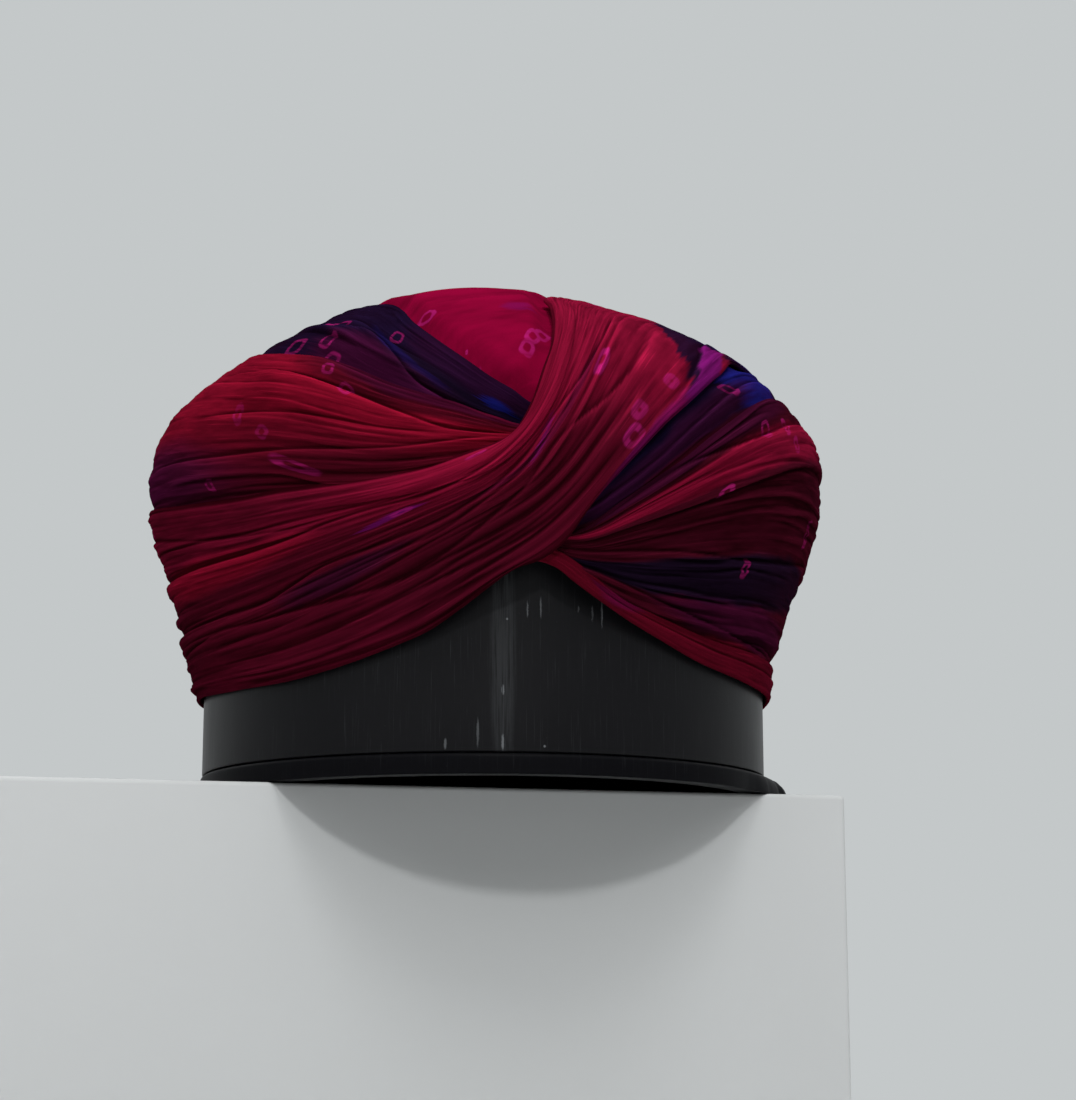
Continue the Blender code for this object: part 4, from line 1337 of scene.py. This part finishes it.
class TURBAN_OT_crown(bpy.types.Operator):
    """Turn the inner winding: a cloth dome, hollow inside, seated on the tube"""

    bl_idname = "turban.crown"
    bl_label = "Crown"

    def execute(self, context):
        cloth, dyes = context.scene.turban_cloth, context.scene.turban_dyes
        rim_azimuth, rim_elevation = zip(*CROWN_RIM)
        levels = np.linspace(min(rim_elevation), 90.0, CROWN_RINGS + 1)
        outer = [(point[0], point[2]) for point in body_point(np.full_like(levels, 90.0), levels)]
        hollow = TUBE_RADIUS + SEAT_GAP
        inner = [(0.0, CROWN_HOLLOW_TOP)]
        inner += [(radius * MM, height * MM) for height, radius in reversed(CROWN_HOLLOW)]
        inner += [(hollow, TUBE_HIGH.z + SEAT_GAP), (hollow, outer[0][1])]
        material = cloth_finish("crown", dyes)
        bm, number = spun(outer + inner, CROWN_COLUMNS)
        bm.loops.layers.uv.new(UV_MAP)
        piece = new_piece("crown", bm, material)
        points = coordinates(piece.data)
        azimuth = np.degrees(np.arctan2(points[:, 0], -points[:, 1]))
        rim = np.interp(azimuth, rim_azimuth, rim_elevation)
        dome = number < len(outer)
        elevation = rim + (90.0 - rim) * number / CROWN_RINGS
        a, e = azimuth[dome], elevation[dome]
        plies, hidden = cover_depth([Stretch(layer.stations) for layer in LAYERS.values()], a, e, cloth)
        sunk = np.clip(plies, 0.0, 1.0)
        folds = self.soft_folds(a, e, cloth) * (1 - hidden)
        lift = CROWN_RISE * (1 - sunk) - CROWN_SINK * sunk - cloth.ply_step * plies + folds
        points[dome] = body_point(a, e) + lift[:, None] * body_normal(a, e)
        low = number == len(outer) + len(inner) - 1
        points[low, 2] = body_point(azimuth[low], rim[low])[:, 2]
        share = 0.5 + np.stack(chart(azimuth, np.where(dome, elevation, levels[0])), axis=1) / CROWN_CHART
        # Painted fold shade of the crown: the soft folds' ridges are painted lighter and their valleys
        # darker
        fold = np.zeros(len(points))
        fold[dome] = np.clip(folds / CROWN_SHADE_DEPTH, -1.0, 1.0)
        dress_mesh(piece.data, points, share, fold)
        settle(piece, "crown")
        return {"FINISHED"}

    def soft_folds(self, azimuth, elevation, cloth):
        """Soft folds that run over the crown from the front left to the back right."""
        chance = np.random.default_rng(SOFT_FOLD_SEED)
        x, y = chart(azimuth, elevation)
        turn = math.radians(SOFT_FOLD_TURN)
        run = (x * math.cos(turn) + y * math.sin(turn)) * DEGREE
        side = (y * math.cos(turn) - x * math.sin(turn)) * DEGREE
        relief = np.zeros_like(x)
        for number in range(SOFT_FOLDS):
            stray = chance.uniform(-SOFT_FOLD_STRAY, SOFT_FOLD_STRAY)
            place = (number - (SOFT_FOLDS - 1) / 2 + stray) * SOFT_FOLD_GAP
            bend = chance.uniform(-1.0, 1.0) * SOFT_FOLD_BEND * (run / SOFT_FOLD_SPAN) ** 2
            facing = 1.0 if chance.random() < 0.5 else -1.0
            height = chance.uniform(*SOFT_FOLD_HEIGHT) * MM
            reach = chance.uniform(*SOFT_FOLD_REACH) * MM
            relief += lip_relief((side - place - bend) * facing, height, reach, SOFT_FOLD_CREASE)
        far, wide = run / MM + CROWN_WAVE_START, side / MM + CROWN_WAVE_START
        relief += CROWN_WAVE_HEIGHT * waves(far / CROWN_WAVE[0], wide / CROWN_WAVE[1], chance)
        crinkles = waves(far / CROWN_CRINKLE[0], wide / CROWN_CRINKLE[1], chance)
        return relief + cloth.crinkle_height * crinkles


class TURBAN_OT_inner_folds(bpy.types.Operator):
    """Lay the navy fold, the side fold and the hem fold, which the outer stretches cover in part"""

    bl_idname = "turban.inner_folds"
    bl_label = "Inner Folds"

    def execute(self, context):
        cloth, dyes = context.scene.turban_cloth, context.scene.turban_dyes
        navy = lay_cloth("navy_fold", cloth, dyes)
        side = lay_cloth("side_fold", cloth, dyes)
        hem = lay_cloth("hem_fold", cloth, dyes)
        return {"FINISHED"}


class TURBAN_OT_fans(bpy.types.Operator):
    """Lay the two fans of pleats that open out from the twist"""

    bl_idname = "turban.fans"
    bl_label = "Left And Right Fans"

    def execute(self, context):
        cloth, dyes = context.scene.turban_cloth, context.scene.turban_dyes
        left = lay_cloth("upper_left_fan", cloth, dyes)
        right = lay_cloth("right_fan", cloth, dyes)
        return {"FINISHED"}


class TURBAN_OT_crossing_band(bpy.types.Operator):
    """Lay the outermost band, which crosses the front and goes over the top"""

    bl_idname = "turban.crossing_band"
    bl_label = "Crossing Band"

    def execute(self, context):
        cloth, dyes = context.scene.turban_cloth, context.scene.turban_dyes
        band = lay_cloth("crossing_band", cloth, dyes)
        return {"FINISHED"}


class TURBAN_OT_stage(bpy.types.Operator):
    """Set the plinth, the floor, the soft lights and the camera"""

    bl_idname = "turban.stage"
    bl_label = "Stage"

    def execute(self, context):
        stage = context.scene.turban_stage
        bm = bmesh.new()
        bmesh.ops.create_cube(bm, size=1.0)
        bmesh.ops.scale(bm, vec=(stage.plinth_width, stage.plinth_depth, stage.floor_drop), verts=bm.verts)
        bmesh.ops.translate(bm, verts=bm.verts, vec=(
            stage.plinth_right - stage.plinth_width / 2,
            stage.plinth_depth / 2 - stage.plinth_front,
            -stage.floor_drop / 2 - PLINTH_GAP))
        bmesh.ops.rotate(bm, verts=bm.verts, cent=(0.0, 0.0, 0.0),
                         matrix=Matrix.Rotation(stage.plinth_turn, 3, "Z"))
        bmesh.ops.bevel(bm, geom=bm.edges, offset=PLINTH_BEVEL, offset_type="OFFSET", affect="EDGES",
                        segments=3, profile=0.5, material=-1)
        plinth = new_piece("plinth", bm, self.paint("plinth paint", stage.plinth_paint))
        bm = bmesh.new()
        bmesh.ops.create_circle(bm, cap_ends=True, segments=96, radius=FLOOR_RADIUS)
        bmesh.ops.translate(bm, vec=(0.0, 0.0, -stage.floor_drop), verts=bm.verts)
        floor = new_piece("floor", bm, self.paint("floor paint", stage.floor_paint))
        for name, lamp in LAMPS.items():
            self.light(name, lamp, getattr(stage, name + "_power"))
        self.background(context.scene, stage)
        self.camera(context.scene)
        context.scene.view_settings.view_transform = "Standard"
        return {"FINISHED"}

    def paint(self, name, colour):
        """Plain matt paint, very faintly mottled."""
        finish = Finish(name, Roughness=0.7)
        solid = finish.node("ShaderNodeTexCoord", output=3)
        mottle = finish.noise(finish.scaled(solid, MOTTLE_GRAIN))
        return finish.finish(Base_Color=finish.shade(
            tuple(colour), mottle * MOTTLE_DEPTH + (1 - MOTTLE_DEPTH / 2)))

    def light(self, name, lamp, power):
        panel = bpy.data.lights.new(name, "AREA")
        panel.shape = "RECTANGLE"
        panel.size, panel.size_y = lamp.size
        panel.energy = power
        self.stand_up(bpy.data.objects.new(name, panel), Vector(lamp.place), Vector(lamp.aim))

    def stand_up(self, shown, place, aim):
        """Put a light or the camera in its place, facing its aim."""
        shown.location = place
        shown.rotation_euler = (aim - place).to_track_quat("-Z", "Y").to_euler()
        bpy.context.scene.collection.objects.link(shown)

    def background(self, scene, stage):
        """A pale backdrop to look at, and a dimmer one as light on the cloth."""
        world = bpy.data.worlds.new("pale room")
        world.use_nodes = True
        tree = world.node_tree
        shade = tree.nodes["Background"]
        shade.inputs["Color"].default_value = (*stage.backdrop, 1.0)
        rays = tree.nodes.new("ShaderNodeLightPath")
        dim = tree.nodes.new("ShaderNodeMapRange")
        dim.inputs["To Min"].default_value = 1.0
        dim.inputs["To Max"].default_value = stage.room_light
        tree.links.new(rays.outputs["Is Diffuse Ray"], dim.inputs["Value"])
        tree.links.new(dim.outputs["Result"], shade.inputs["Strength"])
        scene.world = world

    def camera(self, scene):
        lens = bpy.data.cameras.new("camera")
        lens.sensor_width = SENSOR
        lens.lens = FOCAL_PIXELS * SENSOR / PICTURE_HEIGHT
        scene.camera = bpy.data.objects.new("camera", lens)
        self.stand_up(scene.camera, CAMERA_PLACE, CAMERA_AIM)


class TURBAN_PT_panel(bpy.types.Panel):
    """The turban's sizes, colours and pieces"""

    bl_idname = "TURBAN_PT_panel"
    bl_label = "Tied Turban Pagri"
    bl_space_type = "VIEW_3D"
    bl_region_type = "UI"
    bl_category = "Turban"

    def draw(self, context):
        scene = context.scene
        for settings in (scene.turban_cloth, scene.turban_dyes, scene.turban_stand, scene.turban_stage):
            box = self.layout.box()
            for name in settings.bl_rna.properties.keys():
                if name not in ("rna_type", "name"):
                    box.prop(settings, name)
        for operator in OPERATORS:
            self.layout.operator(operator.bl_idname)


OPERATORS = (
    TURBAN_OT_stage,
    TURBAN_OT_stand,
    TURBAN_OT_crown,
    TURBAN_OT_inner_folds,
    TURBAN_OT_fans,
    TURBAN_OT_crossing_band,
)
SETTINGS = {
    "turban_cloth": TurbanCloth,
    "turban_dyes": TurbanDyes,
    "turban_stand": TurbanStand,
    "turban_stage": TurbanStage,
}


def register():
    for group in SETTINGS.values():
        bpy.utils.register_class(group)
    for item in OPERATORS + (TURBAN_PT_panel,):
        bpy.utils.register_class(item)
    for name, group in SETTINGS.items():
        setattr(bpy.types.Scene, name, PointerProperty(type=group))


def unregister():
    for name in SETTINGS:
        delattr(bpy.types.Scene, name)
    for item in (TURBAN_PT_panel,) + OPERATORS[::-1]:
        bpy.utils.unregister_class(item)
    for group in SETTINGS.values():
        bpy.utils.unregister_class(group)


def main():
    register()
    bpy.ops.turban.stage()
    bpy.ops.turban.stand()
    bpy.ops.turban.crown()
    bpy.ops.turban.inner_folds()
    bpy.ops.turban.fans()
    bpy.ops.turban.crossing_band()


if __name__ == "__main__":
    main()
